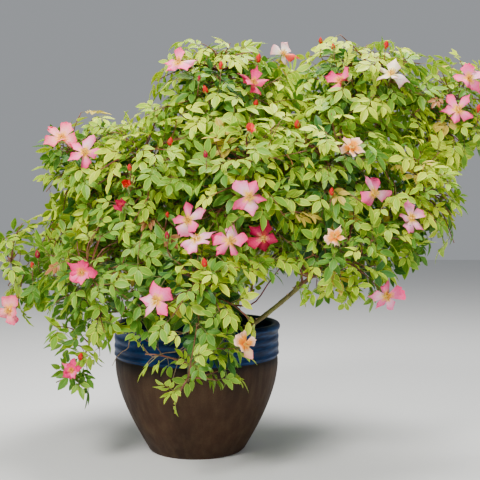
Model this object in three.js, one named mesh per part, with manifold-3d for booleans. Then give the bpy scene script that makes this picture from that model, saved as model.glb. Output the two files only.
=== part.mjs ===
// A China rose bush in a big glazed pot. Millimetres, +Z up, seen from -Y.
// The origin is the middle of the pot's flat underside.
import * as THREE from "three";
import { mergeVertices } from "three/addons/utils/BufferGeometryUtils.js";
import Module from "manifold-3d";

const wasm = await Module();
wasm.setup();

// Clearances
const TOUCH = 0.35; // pieces that touch keep this gap
const MASS_MARGIN = 1.5; // strip that each mass leaves free beside its neighbour
const POT_CLEAR = 10; // leaves keep this far from the pot
const LIMB_CLEAR = 8; // leaves keep this far from a cane
const TWIG_CLEAR = 5; // and so do the middles of twigs
const LEAF_APART = 7; // leaves and twigs of a mass keep this far from each other
const ROOT_FREE = 27; // except this near a leaf's own root

// Pot
const POT_HEIGHT = 318;
const FOOT_RADIUS = 118;
const SHOULDER_RADIUS = 203;
const SHOULDER_HEIGHT = 227;
const GROOVE_RADIUS = 200.5;
const GROOVE_HEIGHT = 234;
const BAND_RADIUS = 205.5;
const BAND_FOOT = 241;
const BAND_TOP = 293;
const LIP_ROUND = 10;
const LIP_RADIUS = 199;
const LIP_ANGLES = [-35, 10, 50, 90, 150]; // degrees round the rolled lip, from below to inside
const POT_WALL = 14;
const POT_FLOOR = 16;
const POT_SIDES = 32;
const BELLY_STEPS = 4;
const SOIL_HEIGHT = 270;
const SOIL_DOME = 5;
const SOIL_KNEE = 0.6; // part of the radius where the dome falls to its edge
const SOIL_KNEE_RISE = 0.8; // and part of the dome's height there

// Stem, canes and twigs
const STEM_FOOT = [18, 6, 256];
const STEM_TOP = [22, 2, 320];
const STEM_RADIUS = 25;
const STEM_TOP_RADIUS = 19;
const STEM_SIDES = 12;
const CANE_SIDES = 5;
const CANE_STEPS = 5;
const CANE_SEAT = 14; // how far under the stem's top a cane springs
const CANE_ROOT = 0.5; // part of the stem's radius where a cane springs
const ARCH_AT = 0.45; // part of a limb's length that arch lifts
const LIMB_ENTERS = 0.9; // a limb's tip is this deep in its mass's space
const LIMB_LONGEST = 0.9; // or at this part of the way to the mass's middle
const LATERAL_LEAST = 40; // least length of a lateral
const STALK_SIDES = 4;
const STALK_RADIUS = 5;
const STALK_END_RADIUS = 4.4;
const STALK_STRAIGHT = 6; // it leaves its cane's tip straight
const STALK_BEND = 15; // most that its elbow is off the cane's own line
const STALK_PAST = 0.55; // it passes the middle by this part of its way there
const TWIG_SIDES = 3;
const TWIG_RADIUS = 3.1;
const TWIG_END_RADIUS = 2.9;
const FORKS = [0.3, 0.45, 0.6, 0.75, 0.9]; // parts of a stalk where twigs may fork

// Leaves: each stands for a few of the rose's compound leaves, on twigs that end a little inside it
const LEAF_LENGTH = 126;
const LEAF_WIDTH = 80;
const LEAF_THICKNESS = 2.6;
const LEAF_WIDEST = 0.42;
const LEAF_SPREAD = 0.15; // most that a leaf's size differs from the mean
const LEAF_HANG = -0.45; // mean pitch of a side leaf, in radians
const LEAF_TILT = 0.5; // most that its pitch differs from that
const LEAF_ROLL = 0.9; // most that a leaf rolls about its own length
const LEAF_SUNK = 2;
const LEAF_TRIES = 10;
const TRY_TURN = 0.16; // each try turns the leaf this much further aside
const TRY_TILT = 0.3; // tilts it up to half of this more
const TRY_SHRINK = 0.03; // and makes it this much smaller
const END_LEAF_RISE = 0.6; // part of its twig's pitch that an end leaf keeps
const SIDE_LEAF_TURN = 1.25; // side leaves turn this far from the twig, in radians
const ENDS_BEYOND = 0.5; // twigs end between these parts of the mass's reach
const ENDS_WITHIN = 0.92;
const SPACE_PER_TWIG = 2.9e6; // cubic millimetres of a mass's space for one twig
const SIDE_LEAVES = [0.86, 0.64, 0.42]; // parts of a twig that carry a side leaf

// Single blooms and buds
const BLOOM_RADIUS = 36;
const PETALS = 5;
const BLOOM_THICKNESS = 7;
const BLOOM_NOTCH = 0.62; // radius between two petals, as part of the bloom's
const BLOOM_CUP = 0.24; // rise of a petal over its length
const BUD_LENGTH = 28;
const BUD_WIDTH = 14;
const BUD_WIDEST = 0.35; // part of its length where a bud is widest
const BUD_ROOT = 2; // depth of its foot on the twig
const FLOWER_DEPTH = 0.85; // part of the mass's depth where a flower is first tried
const FACING_TURN = 0.004; // a flower turns this much for each millimetre that it is off the middle
const FACING_RISE = 0.35; // and looks up by this much
const FLOWER_SUNK = 2.5; // depth of a twig's end in its flower
const SLIVER = 0.1; // shorter edges are closed up

// Canes rise from the stem, laterals fork from a cane at a part of its length.
// arch lifts the middle of the limb, and via are points that the photo shows it pass.
const LIMBS = [
  { name: "cane_front_right", to: "right", seat: 36, radius: 6.8, tip: 3.8,
    via: [[128, -138, 323], [286, -188, 455]] },
  { name: "cane_centre", to: "centre", seat: 30, radius: 6, tip: 3.6, arch: 30 },
  { name: "cane_top", to: "top_left", radius: 6.2, tip: 3.2, via: [[84, 0, 520]] },
  { name: "cane_mid_right", to: "centre_right", seat: 20, radius: 5.8, tip: 3.4, arch: 34 },
  { name: "cane_left", to: "mid_left", radius: 5.8, tip: 3.4, arch: 24 },
  { name: "cane_low_left", to: "left_low", seat: 34, radius: 5.4, tip: 3.2, arch: 44 },
  { name: "cane_front", to: "pot_front", seat: 34, radius: 4.8, tip: 3,
    via: [[4, -196, 338], [-2, -262, 350]] },
  { name: "cane_back_left", to: "back_left", radius: 5.6, tip: 3.2, arch: 40 },
  { name: "cane_back_right", to: "back_right", seat: 30, radius: 5.8, tip: 3.2, arch: 30 },
  { name: "cane_back", to: "back_mid", radius: 5.6, tip: 3.2, arch: 30 },
  { name: "lateral_low_mid", from: "cane_centre", at: 0.3, to: "low_mid", radius: 3.8, tip: 2.8, arch: 16 },
  { name: "lateral_heart", from: "cane_back", at: 0.4, to: "heart", radius: 3.6, tip: 2.8, arch: 4 },
  { name: "lateral_left_top", from: "cane_left", at: 0.55, to: "left_top", radius: 3.8, tip: 2.8, arch: 20 },
  { name: "lateral_far_left", from: "cane_low_left", at: 0.42, to: "far_left", radius: 3.8, tip: 2.8,
    arch: 34 },
  { name: "lateral_droop", from: "lateral_far_left", at: 0.5, to: "left_droop", radius: 3.2, tip: 2.6,
    arch: 20 },
  { name: "lateral_low_right", from: "cane_front_right", at: 0.58, to: "low_right", radius: 3.8, tip: 2.8,
    arch: 6 },
  { name: "lateral_right_tip", from: "cane_front_right", at: 0.78, to: "right_tip", radius: 3.6, tip: 2.6,
    arch: -20 },
  { name: "lateral_top_right", from: "cane_mid_right", at: 0.56, to: "top_right", radius: 3.8, tip: 2.8,
    arch: 18 },
  { name: "lateral_back_top", from: "cane_back", at: 0.55, to: "back_top", radius: 3.8, tip: 2.8, arch: 16 },
  { name: "lateral_back_low", from: "cane_back", at: 0.3, to: "back_low", radius: 3.6, tip: 2.6, arch: 24 },
];

// A cane that was pruned: it stands on the cane beside it
const STUB = {
  name: "pruned_stub", from: "cane_mid_right", at: 0.2, reach: [44, -30, 26], radius: 4.3, tip: 4,
};

// Masses of foliage: the middle and the reach of each, along X, Y and Z.
// blooms and buds are places on the mass's outer side, as X and Z from its middle.
const MASSES = [
  { name: "top_left", centre: [62, -105, 872], reach: [166, 149, 160],
    blooms: [[-93, 58], [75, 9], [148, 94]], buds: [[85, 56]] },
  { name: "top_right", centre: [392, -75, 878], reach: [170, 151, 158],
    blooms: [[60, 27], [-56, 10]], buds: [[49, 86], [-96, 105]] },
  { name: "right_tip", centre: [625, -20, 838], reach: [134, 130, 151],
    blooms: [[23, 69], [-6, -7]], buds: [[42, -14]] },
  { name: "left_top", centre: [-262, -100, 704], reach: [130, 124, 130],
    blooms: [[-36, 56], [18, 23]], buds: [] },
  { name: "mid_left", centre: [-96, -180, 662], reach: [158, 141, 170],
    blooms: [[-42, -12], [-52, -57]], buds: [[51, 73]] },
  { name: "centre", centre: [112, -245, 655], reach: [156, 134, 153],
    blooms: [[15, -32], [45, -119], [17, 111], [-116, -81]], buds: [[-76, 50]] },
  { name: "centre_right", centre: [300, -195, 680], reach: [164, 147, 158],
    blooms: [[46, 50], [99, -47]], buds: [[-68, 92]] },
  { name: "right", centre: [494, -140, 608], reach: [147, 141, 153],
    blooms: [[-8, -30]], buds: [] },
  { name: "left_low", centre: [-186, -225, 432], reach: [153, 139, 147],
    blooms: [[-41, 32]], buds: [] },
  { name: "far_left", centre: [-400, -80, 462], reach: [122, 120, 118],
    blooms: [[-39, -102]], buds: [[42, 23]] },
  { name: "low_mid", centre: [22, -275, 425], reach: [160, 139, 149],
    blooms: [[-6, 109], [65, 105], [-88, -19]], buds: [[14, 52]] },
  { name: "low_right", centre: [318, -235, 502], reach: [175, 141, 134],
    blooms: [[-10, 36], [113, -96]], buds: [] },
  { name: "left_droop", centre: [-290, -150, 236], reach: [91, 101, 124],
    blooms: [[20, -1]], buds: [] },
  { name: "pot_front", centre: [-2, -318, 262], reach: [164, 113, 124],
    blooms: [[120, 52]], buds: [] },
  { name: "heart", centre: [78, 10, 640], reach: [164, 149, 156], blooms: [], buds: [] },
  { name: "back_left", centre: [-235, 120, 550], reach: [179, 166, 175], back: true,
    blooms: [[-40, 10]], buds: [[30, 60]] },
  { name: "back_mid", centre: [20, 215, 600], reach: [170, 153, 166], back: true,
    blooms: [[20, -10]], buds: [[-50, 50]] },
  { name: "back_right", centre: [300, 150, 590], reach: [183, 166, 175], back: true,
    blooms: [[10, 30], [-60, -50]], buds: [[60, 60]] },
  { name: "back_top", centre: [170, 120, 820], reach: [170, 151, 160], back: true,
    blooms: [[-20, 20]], buds: [[60, 70]] },
  { name: "back_low", centre: [20, 285, 420], reach: [179, 134, 141], back: true,
    blooms: [[0, 10]], buds: [[60, 10]] },
];

// Colours from the photo
const BARK = new THREE.MeshStandardMaterial({ color: 0x6d6a3a, roughness: 0.75 });
const WOOD = new THREE.MeshStandardMaterial({ color: 0x6b5a40, roughness: 0.85 });
const LEAF = new THREE.MeshStandardMaterial({ color: 0x7f9a3c, roughness: 0.55 });
const GLAZE = new THREE.MeshStandardMaterial({ color: 0x3a2620, roughness: 0.35 });
const COMPOST = new THREE.MeshStandardMaterial({ color: 0x3b2c20, roughness: 0.95 });

const UP = new THREE.Vector3(0, 0, 1);

function vector(triple) {
  return new THREE.Vector3(...triple);
}

// Seeded random numbers from 0 to 1
function seededRandom(seed) {
  let state = seed >>> 0;
  return () => {
    state = (state + 0x6d2b79f5) >>> 0;
    let mixed = Math.imul(state ^ (state >>> 15), state | 1);
    mixed ^= mixed + Math.imul(mixed ^ (mixed >>> 7), mixed | 61);
    return ((mixed ^ (mixed >>> 14)) >>> 0) / 4294967296;
  };
}

// Closed geometry to solid and back
function toSolid(geometry) {
  const bare = new THREE.BufferGeometry();
  bare.setAttribute("position", geometry.getAttribute("position"));
  bare.setIndex(geometry.getIndex());
  const merged = mergeVertices(bare, 1e-3);
  const index = merged.getIndex().array;
  const triangles = [];
  for (let i = 0; i < index.length; i += 3) {
    const corners = [index[i], index[i + 1], index[i + 2]];
    if (new Set(corners).size === 3) {
      triangles.push(...corners);
    }
  }
  return new wasm.Manifold(new wasm.Mesh({
    numProp: 3,
    vertProperties: new Float32Array(merged.getAttribute("position").array),
    triVerts: new Uint32Array(triangles),
  }));
}

function toMesh(solid, name, material) {
  const whole = solid.decompose().sort((a, b) => b.volume() - a.volume())[0];
  const made = whole.getMesh();
  const geometry = new THREE.BufferGeometry();
  geometry.setAttribute("position", new THREE.BufferAttribute(new Float32Array(made.vertProperties), 3));
  geometry.setIndex(new THREE.BufferAttribute(new Uint32Array(made.triVerts), 1));
  geometry.computeVertexNormals();
  const mesh = new THREE.Mesh(geometry, material);
  mesh.name = name;
  return mesh;
}

function polyhedron(points, faces) {
  const geometry = new THREE.BufferGeometry();
  geometry.setAttribute("position", new THREE.Float32BufferAttribute(points.flatMap((p) => p.toArray()), 3));
  geometry.setIndex(faces.flat());
  return toSolid(geometry);
}

// A closed tapering tube along a curve
function taperedTube(curve, startRadius, endRadius, sides, steps) {
  const frames = curve.computeFrenetFrames(steps, false);
  const points = [];
  const faces = [];
  for (let i = 0; i <= steps; i++) {
    const centre = curve.getPointAt(i / steps);
    const radius = THREE.MathUtils.lerp(startRadius, endRadius, i / steps);
    for (let k = 0; k < sides; k++) {
      const angle = (k / sides) * 2 * Math.PI;
      points.push(centre.clone()
        .addScaledVector(frames.normals[i], radius * Math.cos(angle))
        .addScaledVector(frames.binormals[i], radius * Math.sin(angle)));
    }
  }
  for (let i = 0; i < steps; i++) {
    for (let k = 0; k < sides; k++) {
      const a = i * sides + k;
      const b = i * sides + ((k + 1) % sides);
      faces.push([a, b, b + sides], [a, b + sides, a + sides]);
    }
  }
  const last = steps * sides;
  for (let k = 1; k < sides - 1; k++) {
    faces.push([0, k + 1, k], [last, last + k, last + k + 1]);
  }
  return polyhedron(points, faces);
}

function revolved(profile, sides) {
  const geometry = new THREE.LatheGeometry(profile.map(([r, z]) => new THREE.Vector2(r, z)), sides);
  return toSolid(geometry.rotateX(Math.PI / 2));
}

// The pot: belly, groove, straight band and rolled lip
function bellyRadius(z) {
  const rise = Math.min(z / SHOULDER_HEIGHT, 1);
  return FOOT_RADIUS + (SHOULDER_RADIUS - FOOT_RADIUS) * Math.sin((rise * Math.PI) / 2);
}

function potInsideProfile(gap) {
  const inside = [[0, POT_FLOOR + gap]];
  for (let i = 0; i <= BELLY_STEPS; i++) {
    const z = POT_FLOOR + gap + ((SHOULDER_HEIGHT - POT_FLOOR) * i) / BELLY_STEPS;
    inside.push([bellyRadius(z) - POT_WALL - gap, z]);
  }
  return inside;
}

function potSolid() {
  const outside = [[0, 0]];
  for (let i = 0; i <= BELLY_STEPS; i++) {
    const z = (SHOULDER_HEIGHT * i) / BELLY_STEPS;
    outside.push([bellyRadius(z), z]);
  }
  outside.push([GROOVE_RADIUS, GROOVE_HEIGHT], [BAND_RADIUS, BAND_FOOT], [BAND_RADIUS, BAND_TOP]);
  for (const degrees of LIP_ANGLES) {
    const angle = THREE.MathUtils.degToRad(degrees);
    outside.push([
      LIP_RADIUS + LIP_ROUND * Math.cos(angle),
      POT_HEIGHT - LIP_ROUND + LIP_ROUND * Math.sin(angle),
    ]);
  }
  return revolved([...outside, ...potInsideProfile(0).reverse()], POT_SIDES);
}

function compostSolid(stem) {
  const edge = SHOULDER_RADIUS - POT_WALL - TOUCH;
  const profile = [...potInsideProfile(TOUCH), [edge, SOIL_HEIGHT]];
  profile.push([edge * SOIL_KNEE, SOIL_HEIGHT + SOIL_DOME * SOIL_KNEE_RISE], [0, SOIL_HEIGHT + SOIL_DOME]);
  return revolved(profile, POT_SIDES).subtract(stem);
}

function stemSolid(gap) {
  const foot = vector(STEM_FOOT);
  foot.z -= gap;
  const top = vector(STEM_TOP);
  top.z += gap;
  const line = new THREE.LineCurve3(foot, top);
  return taperedTube(line, STEM_RADIUS + gap, STEM_TOP_RADIUS + gap, STEM_SIDES, 1);
}

// The space of a mass: its ellipsoid, as far as the planes between it and its neighbours
MASSES.forEach((mass, number) => {
  mass.seed = number + 1;
  mass.middle = vector(mass.centre);
  mass.radii = vector(mass.reach);
  mass.power = (mass.reach[0] * mass.reach[1] * mass.reach[2]) ** (2 / 3);
});

function inEllipsoid(point, mass, shrink) {
  return point.clone().sub(mass.middle).divide(mass.radii).length() < shrink;
}

function inSpace(point, mass, shrink = 1) {
  if (!inEllipsoid(point, mass, shrink)) {
    return false;
  }
  const own = point.distanceToSquared(mass.middle) - mass.power;
  return MASSES.every((other) => {
    if (other === mass) {
      return true;
    }
    const gap = 2 * MASS_MARGIN * other.middle.distanceTo(mass.middle);
    return own + gap < point.distanceToSquared(other.middle) - other.power;
  });
}

function clearOfPot(point) {
  const radial = Math.hypot(point.x, point.y);
  return point.z > POT_HEIGHT + POT_CLEAR || radial > BAND_RADIUS + POT_CLEAR;
}

function distanceToSegment(point, start, end) {
  const along = end.clone().sub(start);
  const part = THREE.MathUtils.clamp(point.clone().sub(start).dot(along) / along.lengthSq(), 0, 1);
  return point.distanceTo(start.clone().addScaledVector(along, part));
}

// Limbs, each a curve with its radii. A limb enters its mass and stops there.
function findMass(name) {
  return MASSES.find((mass) => mass.name === name);
}

function entryPoint(mass, root) { // on the way from root to the mass's middle
  const inward = mass.middle.clone().sub(root);
  let part = LATERAL_LEAST / inward.length();
  while (part < LIMB_LONGEST && !inSpace(root.clone().addScaledVector(inward, part), mass, LIMB_ENTERS)) {
    part += 0.01;
  }
  return root.clone().addScaledVector(inward, part);
}

const limbs = {};

function growLimb(row) {
  const parent = limbs[row.from];
  const target = row.to ? findMass(row.to).middle : null;
  const root = parent ? parent.curve.getPointAt(row.at) : vector(STEM_TOP);
  if (!parent) {
    const first = row.via ? vector(row.via[0]) : target;
    const outward = first.clone().sub(root).setZ(0).normalize();
    root.addScaledVector(outward, STEM_TOP_RADIUS * CANE_ROOT).addScaledVector(UP, -(row.seat ?? CANE_SEAT));
  }
  const points = [root, ...(row.via ?? []).map(vector)];
  const last = points[points.length - 1];
  const tip = target ? entryPoint(findMass(row.to), last) : root.clone().add(vector(row.reach));
  if (row.arch) {
    points.push(root.clone().lerp(tip, ARCH_AT).addScaledVector(UP, row.arch));
  }
  points.push(tip);
  const curve = new THREE.CatmullRomCurve3(points, false, "centripetal");
  limbs[row.name] = { ...row, curve, line: curve.getSpacedPoints(CANE_STEPS * 2) };
}

[...LIMBS, STUB].forEach(growLimb);

function limbSolid(limb, gap) {
  return taperedTube(limb.curve, limb.radius + gap, limb.tip + gap, CANE_SIDES, CANE_STEPS);
}

function clearOfLimbs(point, clearance) {
  return Object.values(limbs).every((limb) => limb.line.every((start, i) => {
    const end = limb.line[i + 1];
    return !end || distanceToSegment(point, start, end) > limb.radius + clearance;
  }));
}

// Parts of a mass
function leafCorners(root, heading, pitch, roll, size) {
  const along = new THREE.Vector3(
    Math.cos(heading) * Math.cos(pitch), Math.sin(heading) * Math.cos(pitch), Math.sin(pitch));
  const side = UP.clone().cross(along).normalize().applyAxisAngle(along, roll);
  const face = along.clone().cross(side);
  const widest = root.clone().addScaledVector(along, LEAF_LENGTH * size * LEAF_WIDEST);
  return [
    root.clone().addScaledVector(face, LEAF_THICKNESS / 2),
    root.clone().addScaledVector(face, -LEAF_THICKNESS / 2),
    widest.clone().addScaledVector(side, (LEAF_WIDTH * size) / 2),
    widest.clone().addScaledVector(side, (-LEAF_WIDTH * size) / 2),
    root.clone().addScaledVector(along, LEAF_LENGTH * size),
  ];
}

const LEAF_FACES = [[0, 4, 2], [0, 3, 4], [1, 2, 4], [1, 4, 3], [0, 2, 1], [0, 1, 3]];

// Points all over a leaf, close enough together that no cane passes between them
function leafSamples([above, below, left, right, tip]) {
  const root = above.clone().lerp(below, 0.5);
  const samples = [above, below, left, right, tip];
  for (const edge of [left, right]) {
    for (const part of [0.33, 0.67]) {
      samples.push(root.clone().lerp(edge, part), tip.clone().lerp(edge, part));
    }
    samples.push(left.clone().lerp(right, edge === left ? 0.33 : 0.67));
  }
  for (const part of [0.2, 0.45, 0.7]) {
    samples.push(root.clone().lerp(tip, part));
  }
  return samples;
}

function fits(points, mass, clearance) {
  return points.every((p) => inSpace(p, mass) && clearOfPot(p) && clearOfLimbs(p, clearance));
}

function spreadPoints(mass, count, random) {
  const points = [];
  while (points.length < count) {
    let best = null;
    let bestGap = -1;
    let tries = 0;
    while (tries < 12) {
      const ball = new THREE.Vector3(random() * 2 - 1, random() * 2 - 1, random() * 2 - 1);
      const point = ball.multiply(mass.radii).add(mass.middle);
      if (!inSpace(point, mass, ENDS_WITHIN) || inEllipsoid(point, mass, ENDS_BEYOND)) {
        continue;
      }
      tries += 1;
      const gap = Math.min(...points.map((other) => other.distanceTo(point)), Infinity);
      if (gap > bestGap) {
        best = point;
        bestGap = gap;
      }
    }
    points.push(best);
  }
  return points;
}

// Share of the mass's box that lies in its space, tried on a grid
function spaceVolume(mass) {
  const steps = 8;
  let inside = 0;
  for (let i = 0; i < steps ** 3; i++) {
    const cell = new THREE.Vector3(i % steps, Math.floor(i / steps) % steps, Math.floor(i / steps ** 2));
    const ball = cell.addScalar(0.5).multiplyScalar(2 / steps).subScalar(1);
    if (inSpace(ball.multiply(mass.radii).add(mass.middle), mass)) {
      inside += 1;
    }
  }
  return (inside / steps ** 3) * 8 * mass.radii.x * mass.radii.y * mass.radii.z;
}

function nearestFork(point, stalk) {
  const forks = FORKS.map((part) => stalk.getPointAt(part));
  return forks.sort((a, b) => a.distanceTo(point) - b.distanceTo(point))[0];
}

function samplesBetween(start, end) {
  const count = Math.ceil(start.distanceTo(end) / 12);
  return Array.from({ length: count }, (_, i) => start.clone().lerp(end, (i + 1) / count));
}

// A single bloom: a shallow star of five petals that opens along its axis
function bloomSolid(centre, facing) {
  const side = UP.clone().cross(facing).normalize();
  const rise = facing.clone().cross(side);
  const points = [centre.clone(), centre.clone().addScaledVector(facing, -BLOOM_THICKNESS)];
  for (let i = 0; i < PETALS * 2; i++) {
    const angle = (i / (PETALS * 2)) * 2 * Math.PI + Math.PI / 2;
    const radius = i % 2 ? BLOOM_RADIUS * BLOOM_NOTCH : BLOOM_RADIUS;
    points.push(centre.clone()
      .addScaledVector(side, radius * Math.cos(angle))
      .addScaledVector(rise, radius * Math.sin(angle))
      .addScaledVector(facing, radius * BLOOM_CUP));
  }
  const faces = [];
  for (let i = 0; i < PETALS * 2; i++) {
    const here = 2 + i;
    const next = 2 + ((i + 1) % (PETALS * 2));
    faces.push([0, here, next], [1, next, here]);
  }
  return { solid: polyhedron(points, faces), corners: points };
}

function budSolid(foot, facing) {
  const side = UP.clone().cross(facing).normalize();
  const rise = facing.clone().cross(side);
  const belly = foot.clone().addScaledVector(facing, BUD_LENGTH * BUD_WIDEST);
  const points = [-BUD_ROOT, BUD_LENGTH].map((part) => foot.clone().addScaledVector(facing, part));
  for (let k = 0; k < 4; k++) {
    const angle = (k * Math.PI) / 2;
    points.push(belly.clone()
      .addScaledVector(side, (BUD_WIDTH / 2) * Math.cos(angle))
      .addScaledVector(rise, (BUD_WIDTH / 2) * Math.sin(angle)));
  }
  const faces = [0, 1, 2, 3].flatMap((k) => {
    const here = 2 + k;
    const next = 2 + ((k + 1) % 4);
    return [[1, here, next], [0, next, here]];
  });
  return { solid: polyhedron(points, faces), corners: points };
}

// Put a bloom or bud on the outer side of its mass, moved in until it fits
function settleOnMass(mass, [dx, dz], build) {
  const outward = mass.back ? 1 : -1;
  const flat = (dx / mass.radii.x) ** 2 + (dz / mass.radii.z) ** 2;
  const depth = FLOWER_DEPTH * mass.radii.y * Math.sqrt(Math.max(0, 1 - flat));
  const wanted = mass.middle.clone().add(new THREE.Vector3(dx, outward * depth, dz));
  for (let part = 0; part < 0.9; part += 0.04) {
    const place = wanted.clone().lerp(mass.middle, part);
    const facing = new THREE.Vector3(dx * FACING_TURN, outward, FACING_RISE + dz * FACING_TURN).normalize();
    const made = build(place, facing);
    if (fits(made.corners, mass, LIMB_CLEAR)) {
      return { ...made, place, facing };
    }
  }
  return null;
}

// The stalk of a mass: from its cane's tip to past its middle
function stalkCurve(mass, random) {
  const limb = Object.values(limbs).find((row) => row.to === mass.name);
  const tip = limb.curve.getPointAt(1);
  const heading = limb.curve.getTangentAt(1);
  const start = tip.clone().addScaledVector(heading, TOUCH);
  const end = mass.middle.clone().lerp(start, -STALK_PAST);
  const bend = new THREE.Vector3(random() - 0.5, random() - 0.5, random() - 0.5);
  bend.multiplyScalar(2 * STALK_BEND);
  const elbow = start.clone().addScaledVector(heading, start.distanceTo(mass.middle)).add(bend);
  const straight = start.clone().addScaledVector(heading, STALK_STRAIGHT);
  return new THREE.CatmullRomCurve3([start, straight, elbow, end]);
}

// Twigs that branch from one stalk by a seeded rule, with leaves, blooms and buds fused on
function massSolid(mass) {
  const random = seededRandom(mass.seed);
  const stalk = stalkCurve(mass, random);
  const pieces = [taperedTube(stalk, STALK_RADIUS, STALK_END_RADIUS, STALK_SIDES, 3)];
  const taken = stalk.getSpacedPoints(8);

  function apart(points, root) {
    return points.every((point) => point.distanceTo(root) < ROOT_FREE
      || taken.every((other) => other.distanceTo(point) > LEAF_APART));
  }

  // A leaf turns aside and gets smaller until it fits, or is left out
  function addLeaf(root, heading, pitch) {
    for (let tries = 0; tries < LEAF_TRIES; tries++) {
      const turn = heading + (tries % 2 ? 1 : -1) * TRY_TURN * tries;
      const tilt = pitch + (random() - 0.5) * TRY_TILT * tries;
      const size = 1 + (random() - 0.5) * 2 * LEAF_SPREAD - TRY_SHRINK * tries;
      const corners = leafCorners(root, turn, tilt, (random() * 2 - 1) * LEAF_ROLL, size);
      const samples = leafSamples(corners);
      if (fits(samples, mass, LIMB_CLEAR) && apart(samples, root)) {
        pieces.push(polyhedron(corners, LEAF_FACES));
        taken.push(...samples);
        return;
      }
    }
  }

  function addTwig(twigEnd, carriesFlower) {
    const fork = nearestFork(twigEnd, stalk);
    const samples = samplesBetween(fork, twigEnd);
    if (!fits(samples, mass, TWIG_CLEAR) || !apart(samples, fork)) {
      return false;
    }
    pieces.push(taperedTube(
      new THREE.LineCurve3(fork, twigEnd), TWIG_RADIUS, TWIG_END_RADIUS, TWIG_SIDES, 1));
    taken.push(...samples);
    const away = twigEnd.clone().sub(fork).normalize();
    const heading = Math.atan2(away.y, away.x);
    if (!carriesFlower) {
      addLeaf(twigEnd.clone().addScaledVector(away, -LEAF_SUNK), heading, Math.asin(away.z) * END_LEAF_RISE);
    }
    SIDE_LEAVES.forEach((part, i) => {
      const root = fork.clone().lerp(twigEnd, part);
      const turn = heading + (i % 2 ? 1 : -1) * SIDE_LEAF_TURN;
      addLeaf(root, turn, LEAF_HANG + (random() * 2 - 1) * LEAF_TILT);
    });
    return true;
  }

  for (const [places, build] of [[mass.blooms, bloomSolid], [mass.buds, budSolid]]) {
    for (const place of places) {
      const flower = settleOnMass(mass, place, build);
      const foot = flower && flower.place.clone().addScaledVector(flower.facing, -FLOWER_SUNK);
      if (flower && addTwig(foot, true)) {
        pieces.push(flower.solid);
        taken.push(...flower.corners);
      }
    }
  }
  const flowers = mass.blooms.length + mass.buds.length;
  const count = Math.max(2, Math.round(spaceVolume(mass) / SPACE_PER_TWIG - flowers / 2));
  for (const twigEnd of spreadPoints(mass, count, random)) {
    addTwig(twigEnd, false);
  }
  return wasm.Manifold.union(pieces).simplify(SLIVER);
}

const roseBush = new THREE.Group();
roseBush.add(toMesh(potSolid(), "pot", GLAZE));
roseBush.add(toMesh(compostSolid(stemSolid(TOUCH)), "compost", COMPOST));
roseBush.add(toMesh(stemSolid(0), "stem", WOOD));
for (const limb of Object.values(limbs)) {
  const parent = limbs[limb.from];
  const seat = parent ? limbSolid(parent, TOUCH) : stemSolid(TOUCH);
  roseBush.add(toMesh(limbSolid(limb, 0).subtract(seat), limb.name, BARK));
}
for (const mass of MASSES) {
  roseBush.add(toMesh(massSolid(mass), `foliage_${mass.name}`, LEAF));
}

export default roseBush;
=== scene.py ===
"""A China rose bush in a big glazed pot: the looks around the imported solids.

Lengths are millimetres in the pot's own frame until a mesh is made, which is in metres.
The bush grows by the same rule as its solids, from the same limbs and in the same spaces.
"""
import itertools
import math

import bpy
import numpy as np
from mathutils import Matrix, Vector, noise


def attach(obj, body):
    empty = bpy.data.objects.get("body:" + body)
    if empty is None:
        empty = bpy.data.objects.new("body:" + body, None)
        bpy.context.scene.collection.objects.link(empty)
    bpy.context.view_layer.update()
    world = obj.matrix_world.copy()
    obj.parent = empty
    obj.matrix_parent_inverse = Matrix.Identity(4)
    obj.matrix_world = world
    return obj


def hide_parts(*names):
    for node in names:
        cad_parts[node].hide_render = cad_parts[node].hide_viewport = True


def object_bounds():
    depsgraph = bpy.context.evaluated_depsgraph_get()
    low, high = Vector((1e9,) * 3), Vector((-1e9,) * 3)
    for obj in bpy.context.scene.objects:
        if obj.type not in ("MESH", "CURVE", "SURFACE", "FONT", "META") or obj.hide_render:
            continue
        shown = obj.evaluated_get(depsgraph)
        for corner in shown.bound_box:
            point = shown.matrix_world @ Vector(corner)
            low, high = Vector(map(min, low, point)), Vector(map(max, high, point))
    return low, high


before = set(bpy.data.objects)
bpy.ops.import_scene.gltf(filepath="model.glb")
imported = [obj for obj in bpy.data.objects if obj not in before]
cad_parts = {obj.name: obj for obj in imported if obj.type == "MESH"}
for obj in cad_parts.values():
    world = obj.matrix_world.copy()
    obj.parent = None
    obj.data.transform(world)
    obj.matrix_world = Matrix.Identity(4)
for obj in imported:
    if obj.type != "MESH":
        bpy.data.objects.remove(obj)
cad_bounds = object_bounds()

MM = 0.001
UP = np.array([0.0, 0.0, 1.0])

# Pot, as in the solids
POT_HEIGHT = 318
FOOT_RADIUS = 118
SHOULDER_RADIUS = 203
SHOULDER_HEIGHT = 227
GROOVE_RADIUS = 200.5
GROOVE_HEIGHT = 234
BAND_RADIUS = 205.5
BAND_FOOT = 241
BAND_TOP = 293
LIP_ROUND = 10
LIP_RADIUS = 199
POT_WALL = 14
POT_SIDES = 160
FLOOR_HEIGHT = 16
GLAZED_ABOVE = 262  # on the inside
# The dark runs under the band are painted shade, where the band's shadow falls on the body
PAINTED_SHADE_RUNS = 46  # how far the dark runs under the band differ from each other
SOIL_HEIGHT = 270
SOIL_DOME = 5

# Stem, canes and spaces, as in the solids
STEM_FOOT = np.array([18.0, 6.0, 256.0])
STEM_TOP = np.array([22.0, 2.0, 320.0])
STEM_RADIUS = 25
STEM_TOP_RADIUS = 19
CANE_SEAT = 14
CANE_ROOT = 0.5
ARCH_AT = 0.45
LIMB_ENTERS = 0.9
LIMB_LONGEST = 0.9
LATERAL_LEAST = 40
MASS_MARGIN = 1.5
POT_CLEAR = 6
STALK_STRAIGHT = 6
STALK_BEND = 15
STALK_PAST = 0.55


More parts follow.
